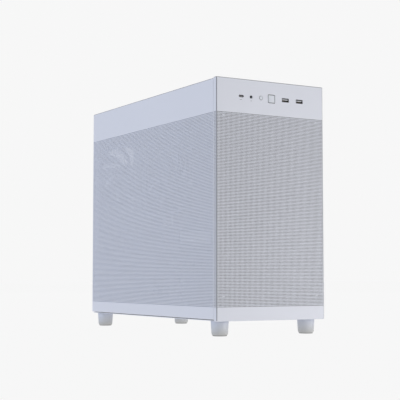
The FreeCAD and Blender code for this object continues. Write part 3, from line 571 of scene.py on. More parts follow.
def folded_sheet(width, height, fold, window, side_window=None):
    """A tray-shaped sheet with windows, its outer face at w = 0 and its folds towards -w.

    Painted shade on the bends is marked 1 and the sheet's inside, painted dark as the shade within the
    case, 2. A side window opens both side folds.
    """
    bm = bmesh.new()
    left, right, low, high = window
    across = (-width / 2, left, right, width / 2)
    along = (-height / 2, low, high, height / 2)
    deep = (0, -side_window[0], -side_window[1], -fold) if side_window else (0, -fold)
    made = {}

    def corner(u, v, w):
        key = tuple(round(place / SAME) for place in (u, v, w))
        if key not in made:
            made[key] = bm.verts.new((u, v, w))
        return made[key]

    def sheet(first, second, point, hole=None):
        for i in range(len(first) - 1):
            for j in range(len(second) - 1):
                if (i, j) != hole:
                    loop = ((i, j), (i + 1, j), (i + 1, j + 1), (i, j + 1))
                    bm.faces.new([corner(*point(first[a], second[b])) for a, b in loop])

    def walls(vert):
        u, v, w = vert.co
        tests = (("u", abs(u), width / 2), ("v", abs(v), height / 2), ("w", w, 0))
        return {name for name, place, wall in tests if abs(place - wall) < 10 * SAME}

    sheet(across, along, lambda u, v: (u, v, 0), (1, 1))
    for side in (-1, 1):
        sheet(along, deep, lambda v, w: (side * width / 2, v, w), (1, 1) if side_window else None)
        sheet(across, deep, lambda u, w: (u, side * height / 2, w))
    outward(bm)
    bends = [edge for edge in bm.edges if len(walls(edge.verts[0]) & walls(edge.verts[1])) > 1]
    bmesh.ops.bevel(bm, geom=bends, offset=BEND, segments=3, profile=0.5, affect="EDGES", material=1)
    bmesh.ops.solidify(bm, geom=bm.faces[:], thickness=SKIN)
    outward(bm)
    for face in bm.faces:
        face.smooth = face.material_index == 1
        u, v, w = face.calc_center_median()
        at_side = abs(u) > width / 2 - BEND
        # the bends along the low edge, and at the ends of a sheet without side windows, keep the plain
        # paint; the painted shade stays on the others
        if v < BEND - height / 2 or (at_side and not side_window):
            face.material_index = 0
        # the sheet's inside takes the dark painted shade of the case's inside
        within = min(width / 2 - abs(u), height / 2 - abs(v), -w) > 0.9 * SKIN
        if within and (face.normal.z < -0.5 or face.normal.x * u < 0 or face.normal.y * v < 0):
            face.material_index = 2
    return bm


def perforated_panel(node, place, size, bands, side_columns=0, cutters=None, wall=HOLE_WALL_SHADE):
    """A folded panel whose middle is perforated, in place of its plain CAD sheet.

    size is its width, height and fold; bands are the plain bands below, above and at the sides.
    """
    width, height, fold = size
    low_band, top_band, side_band = bands
    columns = int((width - 2 * side_band) / PITCH + SAME)
    rows = round((height - low_band - top_band) / PITCH)
    left = -columns * PITCH / 2
    low = low_band - height / 2
    window = (left, -left, low, low + rows * PITCH)
    reach = (EDGE_BAND, EDGE_BAND + side_columns * PITCH)
    sheet = as_mesh(folded_sheet(width, height, fold, window, reach if side_columns else None))
    # the bends take a painted shade and the inside a dark painted shade
    for look in (PAINT, BEND_SHADE, INNER_SHADE):
        sheet.materials.append(look)
    if cutters:
        sheet = carved(sheet, cutters)
    sheet.transform(place)
    piece(f"{node}_sheet", sheet, node)

    def holes(name, count, start, spot):
        strip = perforated_strip(count, rows, (start, low))
        strip.transform(spot)
        # the strips' inner faces take the dark painted shade of the inside and their hole walls a painted
        # shade
        piece(f"{node}_{name}", strip, node, (SHEET, INNER_SHEET_SHADE, wall))

    across = STRIP_CELLS // rows
    for number, start in enumerate(range(0, columns, across), 1):
        holes(f"holes_{number}", min(across, columns - start), left + start * PITCH, place)
    for name, side in SIDES if side_columns else ():
        onto_fold = axes_matrix((side * width / 2, 0, 0), (0, 0, -side), (0, 1, 0), (side, 0, 0))
        start = reach[0] if side > 0 else -reach[1]
        holes(f"{name}_return_holes", side_columns, start, place @ onto_fold)


def panels():
    centre, size = middle("front_panel"), extent("front_panel")
    perforated_panel("front_panel", from_front(centre.x, centre.z), (size.x, size.z, size.y + SEAM),
                     (LOW_BAND, TOP_BAND, EDGE_BAND), RETURN_COLUMNS, front_cutters(centre))
    for side, sign in SIDES:
        node = f"{side}_side_panel"
        low, high = box(node)
        centre, size = middle(node), extent(node)
        face = (centre.x + sign * size.x / 2, centre.y, centre.z)
        bands = (LOW_BAND - (low.z - CASE_LOW.z), TOP_BAND - (CASE_HIGH.z - high.z), EDGE_BAND)
        # the side panels' hole walls take the bluish painted shade
        perforated_panel(node, axes_matrix(face, (0, sign, 0), (0, 0, 1), (sign, 0, 0)),
                         (size.y, size.z, size.x), bands, wall=SIDE_WALL_BLUE_SHADE)
    centre, size = middle("top_panel"), extent("top_panel")
    face = (centre.x, centre.y, centre.z + size.z / 2)
    perforated_panel("top_panel", axes_matrix(face, (0, 1, 0), (-1, 0, 0), (0, 0, 1)),
                     (size.y, size.x, size.z), TOP_PANEL_BANDS)


# ---- front ports, buttons and marks ----
PORT_GAP = 0.3
POWER_GAP = 0.74
RESET_GAP = 0.34
LIGHT_GAP = 0.1
POWER_SIDE = 12.5
RESET_RADIUS = 3.2
USB_A = Vector((13.1, 5.8))
USB_C = Vector((9.0, 3.3))
JACK_RADIUS = 2.9
JACK_BORE = 1.95
DASH = Vector((4.2, 0.6))
DASH_SHIFT = Vector((-1.0, -5.7))  # of the dash below the USB-C port, from its middle
DOT_RADIUS = 0.65
DOT_DROP = 6.3  # of the dot below the audio jack's middle
PORT_SET = 0.3  # of the ports' mouths behind the front face
PORT_DEPTH = 8


def usb_a_places():
    low, high = box("usb_a_ports")
    return low.x + USB_A.x / 2, high.x - USB_A.x / 2


def pill(width, height):
    return rounded(width, height, height / 2.01)


def port_marks(gap=0.0):
    """The dash below the USB-C port and the dot below the jack, each less a gap all round."""
    dash = rounded(DASH.x - 2 * gap, DASH.y - 2 * gap, 0.25, 3)
    return [(dash, middle("usb_c_port").x + DASH_SHIFT.x, DASH_SHIFT.y),
            (circle(DOT_RADIUS - gap, 16), middle("audio_jack").x, -DOT_DROP)]


def front_cutters(centre):
    """Solids that cut the openings of the ports, buttons, light and marks in the front sheet."""
    cutters = Shape()
    level = middle("power_button").z

    def through(outline, x, z=level):
        cutters.take(prism(outline, 6), PAINT, moved(x, z - centre.z, -3))

    gap = 2 * PORT_GAP
    for x in usb_a_places():
        through(rounded(USB_A.x + gap, USB_A.y + gap, 0.7), x)
    through(pill(USB_C.x + gap, USB_C.y + gap), middle("usb_c_port").x)
    through(circle(JACK_RADIUS + PORT_GAP, 40), middle("audio_jack").x)
    side = extent("power_button").x + 2 * POWER_GAP
    through(rounded(side, side, 1.5), middle("power_button").x)
    for node, gap, sides in (("reset_button", RESET_GAP, 48), ("drive_light", LIGHT_GAP, 20)):
        through(circle(extent(node).x / 2 + gap, sides), middle(node).x, middle(node).z)
    for outline, x, rise in port_marks():
        through(outline, x, level + rise)
    return cutters


def shell(outline, hollow, depth, deep):
    """A port's metal shell, closed behind, with its mouth at the origin and its body along -Z."""
    solid = Shape().take(prism(outline, depth), DARK_STEEL, moved(z=-depth))
    return carved(solid.mesh(), Shape().take(prism(hollow, deep + 2), BLACK, moved(z=-deep)))


def contacts(shape, count, step, size, spot, place=Matrix()):
    """Lays gilt contacts side by side, about a spot."""
    x, y, z = spot
    for shift in spread(count, step):
        shape.take(block(size), GOLD, place @ moved(x + shift, y, z))


def usb_a_shape():
    wall = 0.4
    width, height = USB_A - Vector((2, 2)) * wall
    shape = Shape()
    shape.take(shell(rounded(*USB_A, 0.6), rounded(width, height, 0.3), 16.5, PORT_DEPTH), DARK_STEEL)
    shape.take(block((width, height, 0.4)), BLACK, moved(z=-PORT_DEPTH))
    shape.take(block((11.1, 1.9, 0.9 * PORT_DEPTH), 0.2), TONGUE, moved(0, 0.95, -0.55 * PORT_DEPTH))
    contacts(shape, 4, 2.3, (1.1, 0.14, 0.7 * PORT_DEPTH), (0, -0.03, -0.55 * PORT_DEPTH))
    for x in (-3.4, 3.4):
        shape.take(block((2.0, 0.25, 5), 0.08), NICKEL, moved(x, 0.12 - height / 2, -3.4))
    return shape


def front_ports():
    level = middle("power_button").z
    for name, x in zip(("left", "right"), usb_a_places()):
        usb_a_shape().as_piece(f"usb_a_port_{name}", "usb_a_ports", from_front(x, level, PORT_SET))
    width, height = USB_C - Vector((2, 2)) * 0.35
    shape = Shape()
    shape.take(shell(pill(*USB_C), pill(width, height), 17, 7), DARK_STEEL)
    shape.take(prism(rounded(6.7, 0.8, 0.3), 6.6, 0.1), TONGUE, moved(z=-7.1))
    contacts(shape, 8, 0.7, (0.35, 0.9, 4), (0, 0, -3.4))
    shape.as_piece("usb_c_shell", "usb_c_port", from_front(middle("usb_c_port").x, level, PORT_SET))
    mouth = JACK_BORE + 0.2
    collar = lathe([(0, -25), (JACK_RADIUS, -25), (JACK_RADIUS, -0.3), (JACK_RADIUS - 0.25, 0), (mouth, 0)])
    bore = lathe([(mouth, 0), (JACK_BORE, -0.3), (JACK_BORE, -13), (0, -13)])
    shape = Shape().take(collar, BUTTON).take(bore, BLACK)
    bmesh.ops.remove_doubles(shape.bm, verts=shape.bm.verts[:], dist=SAME)
    outward(shape.bm)
    shape.as_piece("audio_jack_collar", "audio_jack", from_front(middle("audio_jack").x, level, PORT_SET))
    marks = Shape()
    flush = 0.02
    for outline, x, rise in port_marks(flush):
        marks.take(prism(outline, SKIN - flush), MARK, from_front(x, level + rise, SKIN))
    marks.as_piece("port_marks", "front_panel", stands_in=False)


def buttons():
    looks = {"power": (rounded(POWER_SIDE, POWER_SIDE, 1.2), 2.5), "reset": (circle(RESET_RADIUS, 48), 2)}
    for name, (outline, stem) in looks.items():
        node = f"{name}_button"
        centre = middle(node)
        deep = box(node)[1].y - CASE_LOW.y
        shape = Shape()
        shape.take(prism(outline, 3, 0.35), BUTTON, from_front(centre.x, centre.z, 3), BUTTON_EDGE)
        shape.take(cylinder(stem, deep - 2.9, 0.2, 24), NYLON, from_front(centre.x, centre.z, deep))
        shape.as_piece(f"{name}_key", node)


# ---- dust filter ----
NET_PITCH = 0.62
NET_SET = 1.05  # of the net's rim behind the front face
THREAD_WIDTH = 0.34
THREAD_THICK = 0.2
THREAD_SETS = (0.14, 0.36)  # of the upright and the level threads behind the rim's face
RIM_WIDTH = 3
RIM_THICK = 0.5
STUD_BALL = 2
EYELET_BORE = 2.6
EYELET_RADIUS = 3.6


def thread_stretches(across, reach, eyelets):
    """The ends of each stretch of one thread, which stops at the eyelets that it would cross."""
    start = -reach
    for centre in sorted(eyelets, key=lambda place: place[1]):
        offset = abs(centre[0] - across)
        if offset < EYELET_RADIUS:
            half = sqrt(EYELET_RADIUS ** 2 - offset ** 2)
            yield start, centre[1] - half
            start = centre[1] + half
    yield start, reach


def dust_filter():
    """A woven net behind the front panel's holes, in a thin rim, with eyelets for the panel's studs."""
    low, high = box("front_panel")
    size = (high.x - low.x - 2.4 * SKIN, high.z - low.z - LOW_BAND - TOP_BAND + 2 * RIM_WIDTH)
    level = (low.z + LOW_BAND + high.z - TOP_BAND) / 2
    shape = Shape()
    for side in (-1, 1):
        shape.take(block((RIM_WIDTH, size[1], RIM_THICK), 0.1), NET,
                   moved(side * (size[0] - RIM_WIDTH) / 2, 0, -RIM_THICK / 2))
        shape.take(block((size[0] - 2 * RIM_WIDTH, RIM_WIDTH, RIM_THICK), 0.1), NET,
                   moved(0, side * (size[1] - RIM_WIDTH) / 2, -RIM_THICK / 2))
    centre, half = middle("front_panel_studs"), extent("front_panel_studs") / 2
    eyelets = corners(centre.x, centre.z - level, half.x - STUD_BALL, half.z - STUD_BALL)
    for x, z in eyelets:
        shape.take(ring(EYELET_BORE, EYELET_RADIUS, -RIM_THICK, 0, 24), NET, moved(x, z))
    inside = [one / 2 - RIM_WIDTH for one in size]
    for axis, depth in enumerate(THREAD_SETS):
        along = 1 - axis
        crossed = [(spot[axis], spot[along]) for spot in eyelets]
        for across in spread(int(2 * inside[axis] / NET_PITCH), NET_PITCH):
            for start, end in thread_stretches(across, inside[along], crossed):
                thread, spot = [0, 0, THREAD_THICK], [0, 0, -depth]
                thread[axis], thread[along] = THREAD_WIDTH, end - start
                spot[axis], spot[along] = across, (start + end) / 2
                shape.take(block(thread), NET, moved(*spot))
    shape.as_piece("dust_filter", "front_panel", from_front(0, level, NET_SET), stands_in=False)


# ---- feet ----
PAD_RADIUS = 11.3


def feet():
    pads = Shape()
    for node in (f"foot_{end}_{side}" for end in ("front", "rear") for side in ("left", "right")):
        centre = middle(node)
        top = extent(node).x / 2
        height = box(node)[1].z
        profile = [(0, height), (top - 0.5, height), (top, height - 0.5), (top - 1.2, 4.2),
                   (top - 1.7, 2.6), (top - 2.2, 1.5), (top - 2.7, 1.05), (0, 1.05)]
        place = moved(centre.x, centre.y)
        Shape().take(lathe(profile, 64), FOOT, place).as_piece(f"{node}_body", node, sharp=50)
        pad = lathe([(0, 0), (PAD_RADIUS - 0.7, 0), (PAD_RADIUS, 0.4), (PAD_RADIUS, 1.04), (0, 1.04)])
        pads.take(pad, PAD, place)
    pads.as_piece("rubber_pads", "foot_pads")


# ---- CAD nodes with softened edges ----
SOFTENED = {
    "slot_covers": 0.25, "graphics_bracket": 0.2, "front_io_bezel": 0.3, "board_sockets": 0.4,
    "power_connector": 0.6, "lead_plug": 1.0, "graphics_shroud": 1.2, "power_supply_housing": 0.8,
    "board_heatsinks": 0.25, "power_supply_switch": 0.4, "panel_sockets": 0.5,
}


def softened_copies():
    """Stands in for plain nodes with the same shape, its sharp edges bevelled."""
    for node, bevel in SOFTENED.items():
        solid = as_solid(NODES[node].data)
        bmesh.ops.remove_doubles(solid, verts=solid.verts[:], dist=2 * SAME * MM)
        bmesh.ops.dissolve_limit(solid, angle_limit=radians(1), verts=solid.verts[:],
                                 edges=solid.edges[:])
        shape = Shape().take(softened(solid, bevel * MM), CAD_LOOKS[SLOT_OF[node]], TO_MM)
        shape.as_piece(f"{node}_softened", node)


def chassis_base():
    """The case's floor: light outside, like the panels' rims, and dark inside, a painted shade of the dim
    case.
    """
    solid = as_solid(NODES["chassis_base"].data)
    solid.transform(TO_MM)
    low, high = box("chassis_base")
    for face in solid.faces:
        centre = face.calc_center_median()
        outer = min(*(centre - low), high.x - centre.x, high.y - centre.y) < 0.4 * SKIN
        # faces inside the case take the dark painted shade
        face.material_index = 0 if outer else 1
    piece("chassis_floor", as_mesh(solid), "chassis_base", (RACK, INNER_SHADE))


# ---- fans ----
FAN_SIDE = 120
FAN_DEEP = 25
FAN_BORE = 58.5
FAN_SIDES = 96  # points around a frame's outlines
FLANGE = 4
FAN_CORNER = 4
SCREW_STEP = 52.5  # from a fan's axis to its screws, across and up
SCREW_HOLE = 2.15
MOTOR = 19.5
STRUT = 1.5  # radius of the frame's curved struts
BLADE_THICK = 1.5
BLADE_SWEEP = 0.5  # in radians, from root to tip
BLADE_STEPS = 6  # from root to tip
CHORD_STEPS = 8


def fan_blade(hub, tip, deep, turn, root_pitch, tip_pitch):
    """A curved blade about Z between z = 0 and z = deep, as a thin closed solid."""
    solid = bmesh.new()
    rows = []
    for step in range(BLADE_STEPS + 1):
        share = step / BLADE_STEPS
        radius = hub - 1 + share * (tip - hub + 1)
        pitch = radians(root_pitch + share * (tip_pitch - root_pitch))
        chord = (deep - 4) / sin(pitch)
        row = []
        for place in np.linspace(-0.5, 0.5, CHORD_STEPS + 1):
            bulge = 0.10 * chord * (1 - 4 * place ** 2)
            around = place * chord * cos(pitch) - bulge * sin(pitch)
            height = deep / 2 + place * chord * sin(pitch) + bulge * cos(pitch) * 0.5
            angle = turn + BLADE_SWEEP * share ** 1.3 + around / radius
            row.append(solid.verts.new((*polar(radius, angle), height)))
        rows.append(row)
    for first, second in zip(rows, rows[1:]):
        for step in range(CHORD_STEPS):
            solid.faces.new((first[step], first[step + 1], second[step + 1], second[step]))
    outward(solid)
    bmesh.ops.solidify(solid, geom=solid.faces[:], thickness=BLADE_THICK)
    return solid


def fan_rotor(node, joint, axis, hub, tip, deep, blades, shaft, pitches=(50, 34)):
    """A hub with a rounded rim, its blades and its shaft; axis points from its seat to its face."""
    pivot = next(Vector(one["pos_m"]) for one in RECORD["behaviour"]["joints"] if one["name"] == joint)
    seat = pivot / MM
    low, high = box(node)
    index = max(range(3), key=lambda number: abs(axis[number]))
    seat[index] = high[index] - shaft if axis[index] < 0 else low[index] + shaft
    rim = 1.6
    shape = Shape()
    shape.take(lathe([(0, 0), (hub - 0.3, 0), (hub, 0.3), (hub, deep - rim),
                      (hub - 0.45 * rim, deep - 0.35 * rim), (hub - rim, deep), (hub - 3, deep),
                      (hub - 3.4, deep - 0.5), (0, deep - 0.5)]), FAN)
    shape.take(cylinder(1.5, shaft, 0.2, 20), ZINC, moved(z=-shaft))
    for number in range(blades):
        shape.take(fan_blade(hub, tip - 0.8, deep, 2 * pi * number / blades, *pitches), FAN)
    shape.as_piece(f"{node}_blades", node, facing(seat, axis), sharp=40)


def square_outline(side, corner, sides):
    """Points of a square with round corners, one for each of the angles of a circle."""
    points = []
    reach = side / 2
    inner = reach - corner
    for x, y in circle(1, sides):
        stretch = reach / max(abs(x), abs(y))
        px, py = x * stretch, y * stretch
        if abs(px) > inner and abs(py) > inner:
            cx, cy = copysign(inner, px), copysign(inner, py)
            away = Vector((px - cx, py - cy)).normalized() * corner
            px, py = cx + away.x, cy + away.y
        points.append((px, py))
    return points


def fan_frame(node, axis):
    """A fan's frame: two flanges on a round barrel, a motor seat on curved struts, screw holes."""
    flange = square_outline(FAN_SIDE, FAN_CORNER, FAN_SIDES)
    bore, flare, barrel = (circle(FAN_BORE + more, FAN_SIDES) for more in (0, 0.9, 1.4))
    half = FAN_DEEP / 2
    loops = [(flange, -half), (flange, FLANGE - half), (barrel, FLANGE - half), (barrel, half - FLANGE),
             (flange, half - FLANGE), (flange, half), (flare, half), (bore, half - 2),
             (bore, 2 - half), (flare, -half)]
    solid = bmesh.new()
    rings = [[solid.verts.new((x, y, z)) for x, y in outline] for outline, z in loops]
    for loop in between_rings([*rings, rings[0]]):
        solid.faces.new(loop)
    holes = Shape()
    for spot in corners(0, 0, SCREW_STEP, SCREW_STEP):
        holes.take(cylinder(SCREW_HOLE, 2 * FAN_DEEP, sides=20), FAN, moved(*spot, -FAN_DEEP))
    shape = Shape().take(carved(Shape().take(solid, FAN).mesh(), holes), FAN)
    shape.take(lathe([(1.6, -half), (MOTOR - 0.6, -half), (MOTOR, 0.6 - half), (MOTOR, 3 - half),
                      (1.6, 3 - half), (1.6, -half)]), FAN)
    for number in range(4):
        points = []
        for share in np.linspace(0, 1, 9):
            radius = MOTOR - 1 + share * (FAN_BORE - MOTOR + 2)
            angle = pi / 4 + pi / 2 * number + 0.45 * share
            points.append(Vector((*polar(radius, angle), STRUT + 0.05 - half)))
        shape.take(tube(points, STRUT, 10), FAN)
    shape.as_piece(f"{node}_moulding", node, facing(middle(node), axis), sharp=35)


def fans():
    back = (0, -1, 0)
    for name in ("rear", "cooler"):
        fan_frame(f"{name}_fan_frame", back)
    for name in ("rear", "cooler"):
        fan_rotor(f"{name}_fan_rotor", f"{name}_fan_spin", back, MOTOR, 57, 20, 9, 2.4)
    fan_rotor("power_supply_fan_rotor", "supply_fan_spin", back, MOTOR, 60, 23, 7, 4)
    for number, name in ((1, "front"), (2, "rear")):
        fan_rotor(f"graphics_fan_rotor_{number}", f"graphics_fan_spin_{name}", (0, 0, -1),
                  12, 42, 15, 11, 2.2, (46, 32))


# ---- rear face ----
REAR_FAN = (-35.5, 265)  # x and level, as in the places below
SLOT_SCREWS = (-52, 150)  # the top one
SLOT_STEP = 20.32
SLOTS = 4
REAR_IO = (49.25, 244)
REAR_USB = [(side, level) for side in (14, 5) for level in (-66, -46, -26, 20, 40)]
NETWORK = (8, -2)
JACK_SIDE = 12
JACK_LEVELS = (56, 68)
IO_SIZE = (43.5, 151)
IO_DEEP = 28
SHIELD_THICK = 0.8
INLET = (40, 40)
INLET_MOUTH = (12.3, 8.3)  # half its width and height


def cross_recess(shape, place, reach, height):
    for size in ((reach, 0.9, 0.5), (0.9, reach, 0.5)):
        shape.take(block(size), BLACK, place @ moved(z=height - 0.2))


def rear_screws():
    shape = Shape()
    for spot in corners(*REAR_FAN, SCREW_STEP, SCREW_STEP):
        head = lathe([(0, 0), (3.9, 0), (3.9, 0.6), (3.2, 1.6), (1.8, 2.2), (0, 2.3)], 28)
        shape.take(head, ZINC, from_rear(*spot))
        cross_recess(shape, from_rear(*spot), 3.4, 2.2)
    shape.as_piece("rear_fan_screws", "thumb_screws", stands_in=False)
    knurl = [(x * radius, y * radius) for (x, y), radius in zip(circle(1, 60), [4.15, 4.45] * 30)]
    shape = Shape()
    for row in range(SLOTS):
        place = from_rear(SLOT_SCREWS[0], SLOT_SCREWS[1] - SLOT_STEP * row)
        shape.take(prism(knurl, 4.4), ZINC, place @ moved(z=1))
        shape.take(cylinder(4, 1, 0.2), ZINC, place)
        shape.take(cylinder(4, 1, 0.4), ZINC, place @ moved(z=5.4))
        shape.take(cylinder(1.7, 6, 0.3, 20), ZINC, place @ moved(z=-6))
        cross_recess(shape, place, 5, 6.3)
    shape.as_piece("knurled_screws", "thumb_screws")


def rear_ports():
    """The motherboard's rear block: a steel shield with shells, jacks and a network port."""
    place = from_rear(*REAR_IO)
    cutters = Shape()

    def spot(side, level, z=0.0):
        return moved(-side, level, z)

    for usb in REAR_USB:
        cutters.take(prism(rounded(5.4, 12.8, 0.5), 12), BLACK, spot(*usb, -10))
    cutters.take(prism(rounded(11.8, 9, 0.4), 14), BLACK, spot(*NETWORK, -12))
    for level in JACK_LEVELS:
        cutters.take(cylinder(3, 12), BLACK, spot(JACK_SIDE, level, -10))
    solid = Shape()
    deep = IO_DEEP - SHIELD_THICK
    solid.take(block((*IO_SIZE, deep), 0.3), BLACK, moved(z=-SHIELD_THICK - deep / 2))
    solid.take(block((*IO_SIZE, SHIELD_THICK), 0.2), SHIELD, moved(z=-SHIELD_THICK / 2))
    mesh = carved(solid.mesh(), cutters)
    mesh.transform(place)
    piece("rear_port_block", mesh, "rear_io_ports")
    shape = Shape()
    for usb in REAR_USB:
        shape.take(shell(rounded(5.2, 12.6, 0.5), rounded(4.6, 12, 0.3), 9.5, 8), NICKEL, spot(*usb, -0.1))
        shape.take(block((1.8, 10.6, 7), 0.2), TONGUE, spot(*usb) @ moved(0.8, 0, -4.7))
    for level, look in zip(JACK_LEVELS, JACK_LOOKS):
        collar = lathe([(1.75, -9), (2.9, -9), (2.9, -0.2), (2.6, 0), (2, 0), (1.75, -0.3), (1.75, -9)])
        shape.take(collar, look, spot(JACK_SIDE, level))
    contacts(shape, 8, 1.1, (0.4, 1.6, 6), (0, 3.4, -6), spot(*NETWORK))
    for side in (-5.6, 5.6):
        shape.take(block((0.5, 9.4, 11)), NICKEL, spot(*NETWORK) @ moved(side, 0, -5.9))
    shape.as_piece("rear_port_shells", "rear_io_ports", place)


def power_inlet():
    place = from_rear(*INLET)
    side, top = INLET_MOUTH
    cut = 6
    mouth = [(-side, -top), (side, -top), (side, top - cut), (side - cut, top), (cut - side, top),
             (-side, top - cut)]
    inlet = Shape()
    for outline, low, high in ((rounded(31.2, 23.6, 2), 0, 2.5), (rounded(27.2, 19.6, 1.5), -22, 0)):
        solid = Shape().take(prism(outline, high - low, 0.4), BLACK, moved(z=low))
        hollow = Shape().take(prism(mouth, 20), BLACK, moved(z=-12.4))
        inlet.take(carved(solid.mesh(), hollow), BLACK)
    inlet.as_piece("inlet_moulding", "power_inlet", place)
    pins = Shape()
    for x, y in ((-7, -2), (0, 2), (7, -2)):
        pins.take(block((2, 4, 9.5), 0.4), NICKEL, moved(x, y, -8))
    pins.as_piece("inlet_pins", "power_inlet", place)


# ---- computer ----
BOARD_FACE = 71.9  # x of the motherboard's face; what it carries stands towards -X
PROCESSOR = (348, 245)  # depth and level
CHIPSET = (306, 132)
CHIPS = (  # depth, level and size of the flat chips
    (420, 130, 9, 9), (440, 150, 12, 12), (330, 110, 8, 8), (300, 200, 6, 6), (286, 160, 7, 10),
    (420, 190, 8, 8), (250, 215, 5, 5), (375, 95, 6, 8), (410, 165, 10, 6), (282, 225, 4, 8),
    (350, 95, 6, 4), (440, 118, 7, 5))
CHOKES = [(309 + 10.5 * number, 290) for number in range(8)] \
    + [(396, 224 + 10.5 * number) for number in range(8)]
CAPACITORS = [(300 + 9 * number, 281) for number in range(4)] + [(386, 200), (394, 200), (402, 200)] \
    + [(424 + 8 * number, 96) for number in range(4)] + [(232, 170), (240, 170), (230, 120)]
DRIVE = (362, 177)
FINS = 32
FIN_STEP = 2.7


def on_board(depth, level, tall=0.0):
    """Places a mesh drawn with Z off the motherboard, X towards the rear and Y up."""
    return axes_matrix(at(BOARD_FACE - tall, depth, level), (0, 1, 0), (0, 0, 1), (-1, 0, 0))


def board_parts():
    shape = Shape()

    def standing(size, bevel, look, depth, level):
        """A block with its foot on the board."""
        shape.take(block(size, bevel), look, on_board(depth, level, size[2] / 2))

    shape.take(prism(rounded(56, 56, 3), 4, 0.4), NICKEL, on_board(*PROCESSOR))
    for spot in CHOKES:
        standing((7, 7, 5), 0.6, CHIP, *spot)
    for spot in CAPACITORS:
        shape.take(cylinder(3.1, 7.4, 0.4, 24), ALUMINIUM, on_board(*spot))
        shape.take(cylinder(3.3, 1.2, 0.2, 24), CHIP, on_board(*spot))
    shape.take(cylinder(10, 3.2, 0.5, 48), NICKEL, on_board(*CHIPSET))
    shape.take(prism(rounded(23, 23, 3), 1.6, 0.3), CHIP, on_board(*CHIPSET))
    for row in range(3):
        standing((10, 14, 9), 0.5, CHIP, 221, 112 + 18 * row)
    for number in range(6):
        standing((20, 5, 8), 0.4, CHIP, 240 + 27 * number, 91)
        for pin in range(7):
            shape.take(block((0.6, 0.6, 6)), GOLD, on_board(232.5 + 27 * number + 2.5 * pin, 91, 8.4))
    for depth, level, deep, high in CHIPS:
        standing((deep, high, 1.2), 0.15, CHIP, depth, level)
    generator = np.random.default_rng(7)
    for number in range(120):
        depth, level = generator.uniform(280, 440), generator.uniform(95, 160)
        standing((1.6, 0.8, 0.7), 0, TONGUE if number % 3 else CHIP, depth, level)
    shape.as_piece("board_components", "motherboard", stands_in=False)


def memory():
    shape = Shape()
    for depth in (249.5, 268.5):
        centre = moved(*at(BOARD_FACE - 24, depth, 255))
        shape.take(block((31.6, 1.2, 132.6), 0.1), BOARD, centre)
        for side in (-1.65, 1.65):
            plate = centre @ moved(-1.2, side)
            shape.take(block((29, 2, 131), 0.5), ALUMINIUM, plate)
            for rise in spread(5, 24):
                shape.take(block((22, 2.3, 5), 0.15), DARK_STEEL, plate @ moved(z=rise))
    shape.as_piece("memory_spreaders", "memory_modules")


def drive():
    depth, level = DRIVE
    shape = Shape().take(block((80, 22, 0.9), 0.1), BOARD, on_board(depth, level, 2))
    for ahead, deep in ((-24, 18), (0, 12), (20, 16)):
        shape.take(block((deep, 15, 0.9), 0.15), CHIP, on_board(depth + ahead, level, 2.9))
    shape.take(block((8, 22, 3.2), 0.4), CHIP, on_board(depth - 36, level, 1.7))
    shape.take(cylinder(3, 3, 0.3, 24), ZINC, on_board(depth + 38, level))
    shape.as_piece("drive_chips", "solid_state_drive")


def cooler():
    depth, level = PROCESSOR
    shape = Shape().take(block((20, 40, 40), 1), NICKEL, moved(*at(61.9, depth, level)))
    for step, lift in ((-15, -12), (-5, 12), (5, -12), (15, 12)):
        for x, radius, tall, bevel in ((-61, 3, 118, 0.8), (-60.5, 3.6, 2, 0.5)):
            place = facing(at(x, depth + step, level + lift), (1, 0, 0))
            shape.take(cylinder(radius, tall, bevel, 24), COPPER, place)
    notch, deep, high = 4, 25, 56
    outline = [(-deep, notch - high), (notch - deep, -high), (deep - notch, -high), (deep, notch - high),
               (deep, -18), (deep - 3, -12), (deep - 3, 12), (deep, 18), (deep, high - notch),
               (deep - notch, high), (notch - deep, high), (-deep, high - notch), (-deep, 18),
               (3 - deep, 12), (3 - deep, -12), (-deep, -18)]
    for number in range(FINS):
        last = number == FINS - 1
        thick = 1.4 if last else 0.5
        spot = at(25 - FIN_STEP * number - thick / 2, depth, level)
        shape.take(prism(outline, thick), DARK_STEEL if last else ALUMINIUM,
                   axes_matrix(spot, (0, 1, 0), (0, 0, 1), (1, 0, 0)))
    shape.as_piece("cooler_fins", "cooler_heatsink")


def graphics_backplate():
    plate = prism(rounded(98, 226, 3), 1.2, 0.3)
    shape = Shape().take(plate, DARK_STEEL, moved(*at(8, 338, 151.2)))
    for x in (-34, 50):
        for depth in (236, 300, 376, 440):
            place = moved(*at(x, depth, 152.4))
            shape.take(cylinder(2.6, 1, 0.3, 20), ZINC, place)
            cross_recess(shape, place, 2.6, 0.9)
    for number in range(7):
        shape.take(block((30, 3, 0.5), 0.1), BLACK, moved(*at(8, 250 + 9 * number, 152.3)))
    shape.as_piece("graphics_backplate", "graphics_board", stands_in=False)


# ---- camera, light and floor, in metres ----
BACKDROP = 0.931  # linear white of the paper
FLOOR_GLOW = 0.922  # light the paper sends out by itself, so that it looks like the backdrop
AMBIENT = ((0.92, 0.96, 1.0), 0.52)
FLOOR_REACH = 12
LENS = 96.22  # focal length in mm, on a sensor 36 mm wide
CAMERA_SHIFT = Vector((-0.8514, -1.4144, 0.0707))  # from the case's lowest front left corner
CAMERA_TURN = (94.044, 0, -30.158)  # in degrees
TARGET = (0, 0, 0.2)
LAMPS = (  # place, target, size, power, colour
    ("left_box", (-3.2, 0.9, 1.0), TARGET, 2.6, 31.5, (0.80, 0.93, 1.24)),
    ("front_box", (2.2, -2.8, 0.9), TARGET, 2.4, 27.6, (1.0, 0.96, 0.92)),
    ("low_box", (0.40, -0.75, 0.02), (0.07, -0.2, 0.04), 0.25, 1.25, (1.0, 0.99, 1.0)),
    ("top_fill", (0.3, 0.8, 3.2), TARGET, 2.6, 22, WHITE),
    ("rear_fill", (1.8, 3.2, 1.2), TARGET, 2.4, 26, WHITE))


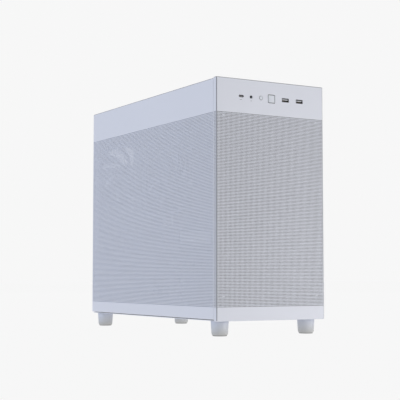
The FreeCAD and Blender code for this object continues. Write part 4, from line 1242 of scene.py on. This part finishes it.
def backdrop():
    """What the camera sees behind the object is plain white, and what lights it is softer."""
    world = bpy.data.worlds.new("studio")
    bpy.context.scene.world = world
    world.use_nodes = True
    nodes, links = world.node_tree.nodes, world.node_tree.links
    mix = nodes.new("ShaderNodeMixShader")
    links.new(nodes.new("ShaderNodeLightPath").outputs["Is Camera Ray"], mix.inputs["Fac"])
    shades = ((nodes["Background"], *AMBIENT), (nodes.new("ShaderNodeBackground"), WHITE, BACKDROP))
    for number, (shade, colour, strength) in enumerate(shades, 1):
        shade.inputs["Color"].default_value = (*colour, 1)
        shade.inputs["Strength"].default_value = strength
        links.new(shade.outputs["Background"], mix.inputs[number])
    links.new(mix.outputs["Shader"], nodes["World Output"].inputs["Surface"])


def paper():
    """A wide white floor under the object."""
    mesh = bpy.data.meshes.new("floor")
    corners = [(x * FLOOR_REACH, y * FLOOR_REACH, 0) for x, y in ((-1, -1), (1, -1), (1, 1), (-1, 1))]
    mesh.from_pydata(corners, [], [(0, 1, 2, 3)])
    mesh.materials.append(Recipe("floor_paper", (0.01, 0.01, 0.01), 0.9, Specular_IOR_Level=0.0,
                                 Emission_Color=WHITE, Emission_Strength=FLOOR_GLOW).material)
    placed("floor", mesh)


def lights():
    """Two big soft boxes, a bluish one on the left and a neutral one in front, and weak fills."""
    for name, place, target, size, power, colour in LAMPS:
        lamp = bpy.data.lights.new(name, "AREA")
        lamp.shape = "SQUARE"
        lamp.size = size
        lamp.energy = power
        lamp.color = colour
        item = placed(name, lamp)
        item.location = place
        item.rotation_euler = (Vector(target) - Vector(place)).to_track_quat("-Z", "Y").to_euler()


def camera():
    lens = bpy.data.cameras.new("camera")
    lens.sensor_width = 36
    lens.lens = LENS
    lens.clip_start = 0.05
    lens.clip_end = 50
    item = placed("camera", lens)
    item.location = CASE_LOW * MM + CAMERA_SHIFT
    item.rotation_euler = [radians(angle) for angle in CAMERA_TURN]
    bpy.context.scene.camera = item


dress_cad_nodes()
for build in (panels, front_ports, buttons, dust_filter, feet, softened_copies, chassis_base, fans,
              rear_screws, rear_ports, power_inlet, board_parts, memory, drive, cooler,
              graphics_backplate, backdrop, paper, lights, camera):
    build()
bpy.context.scene.view_settings.view_transform = "Standard"
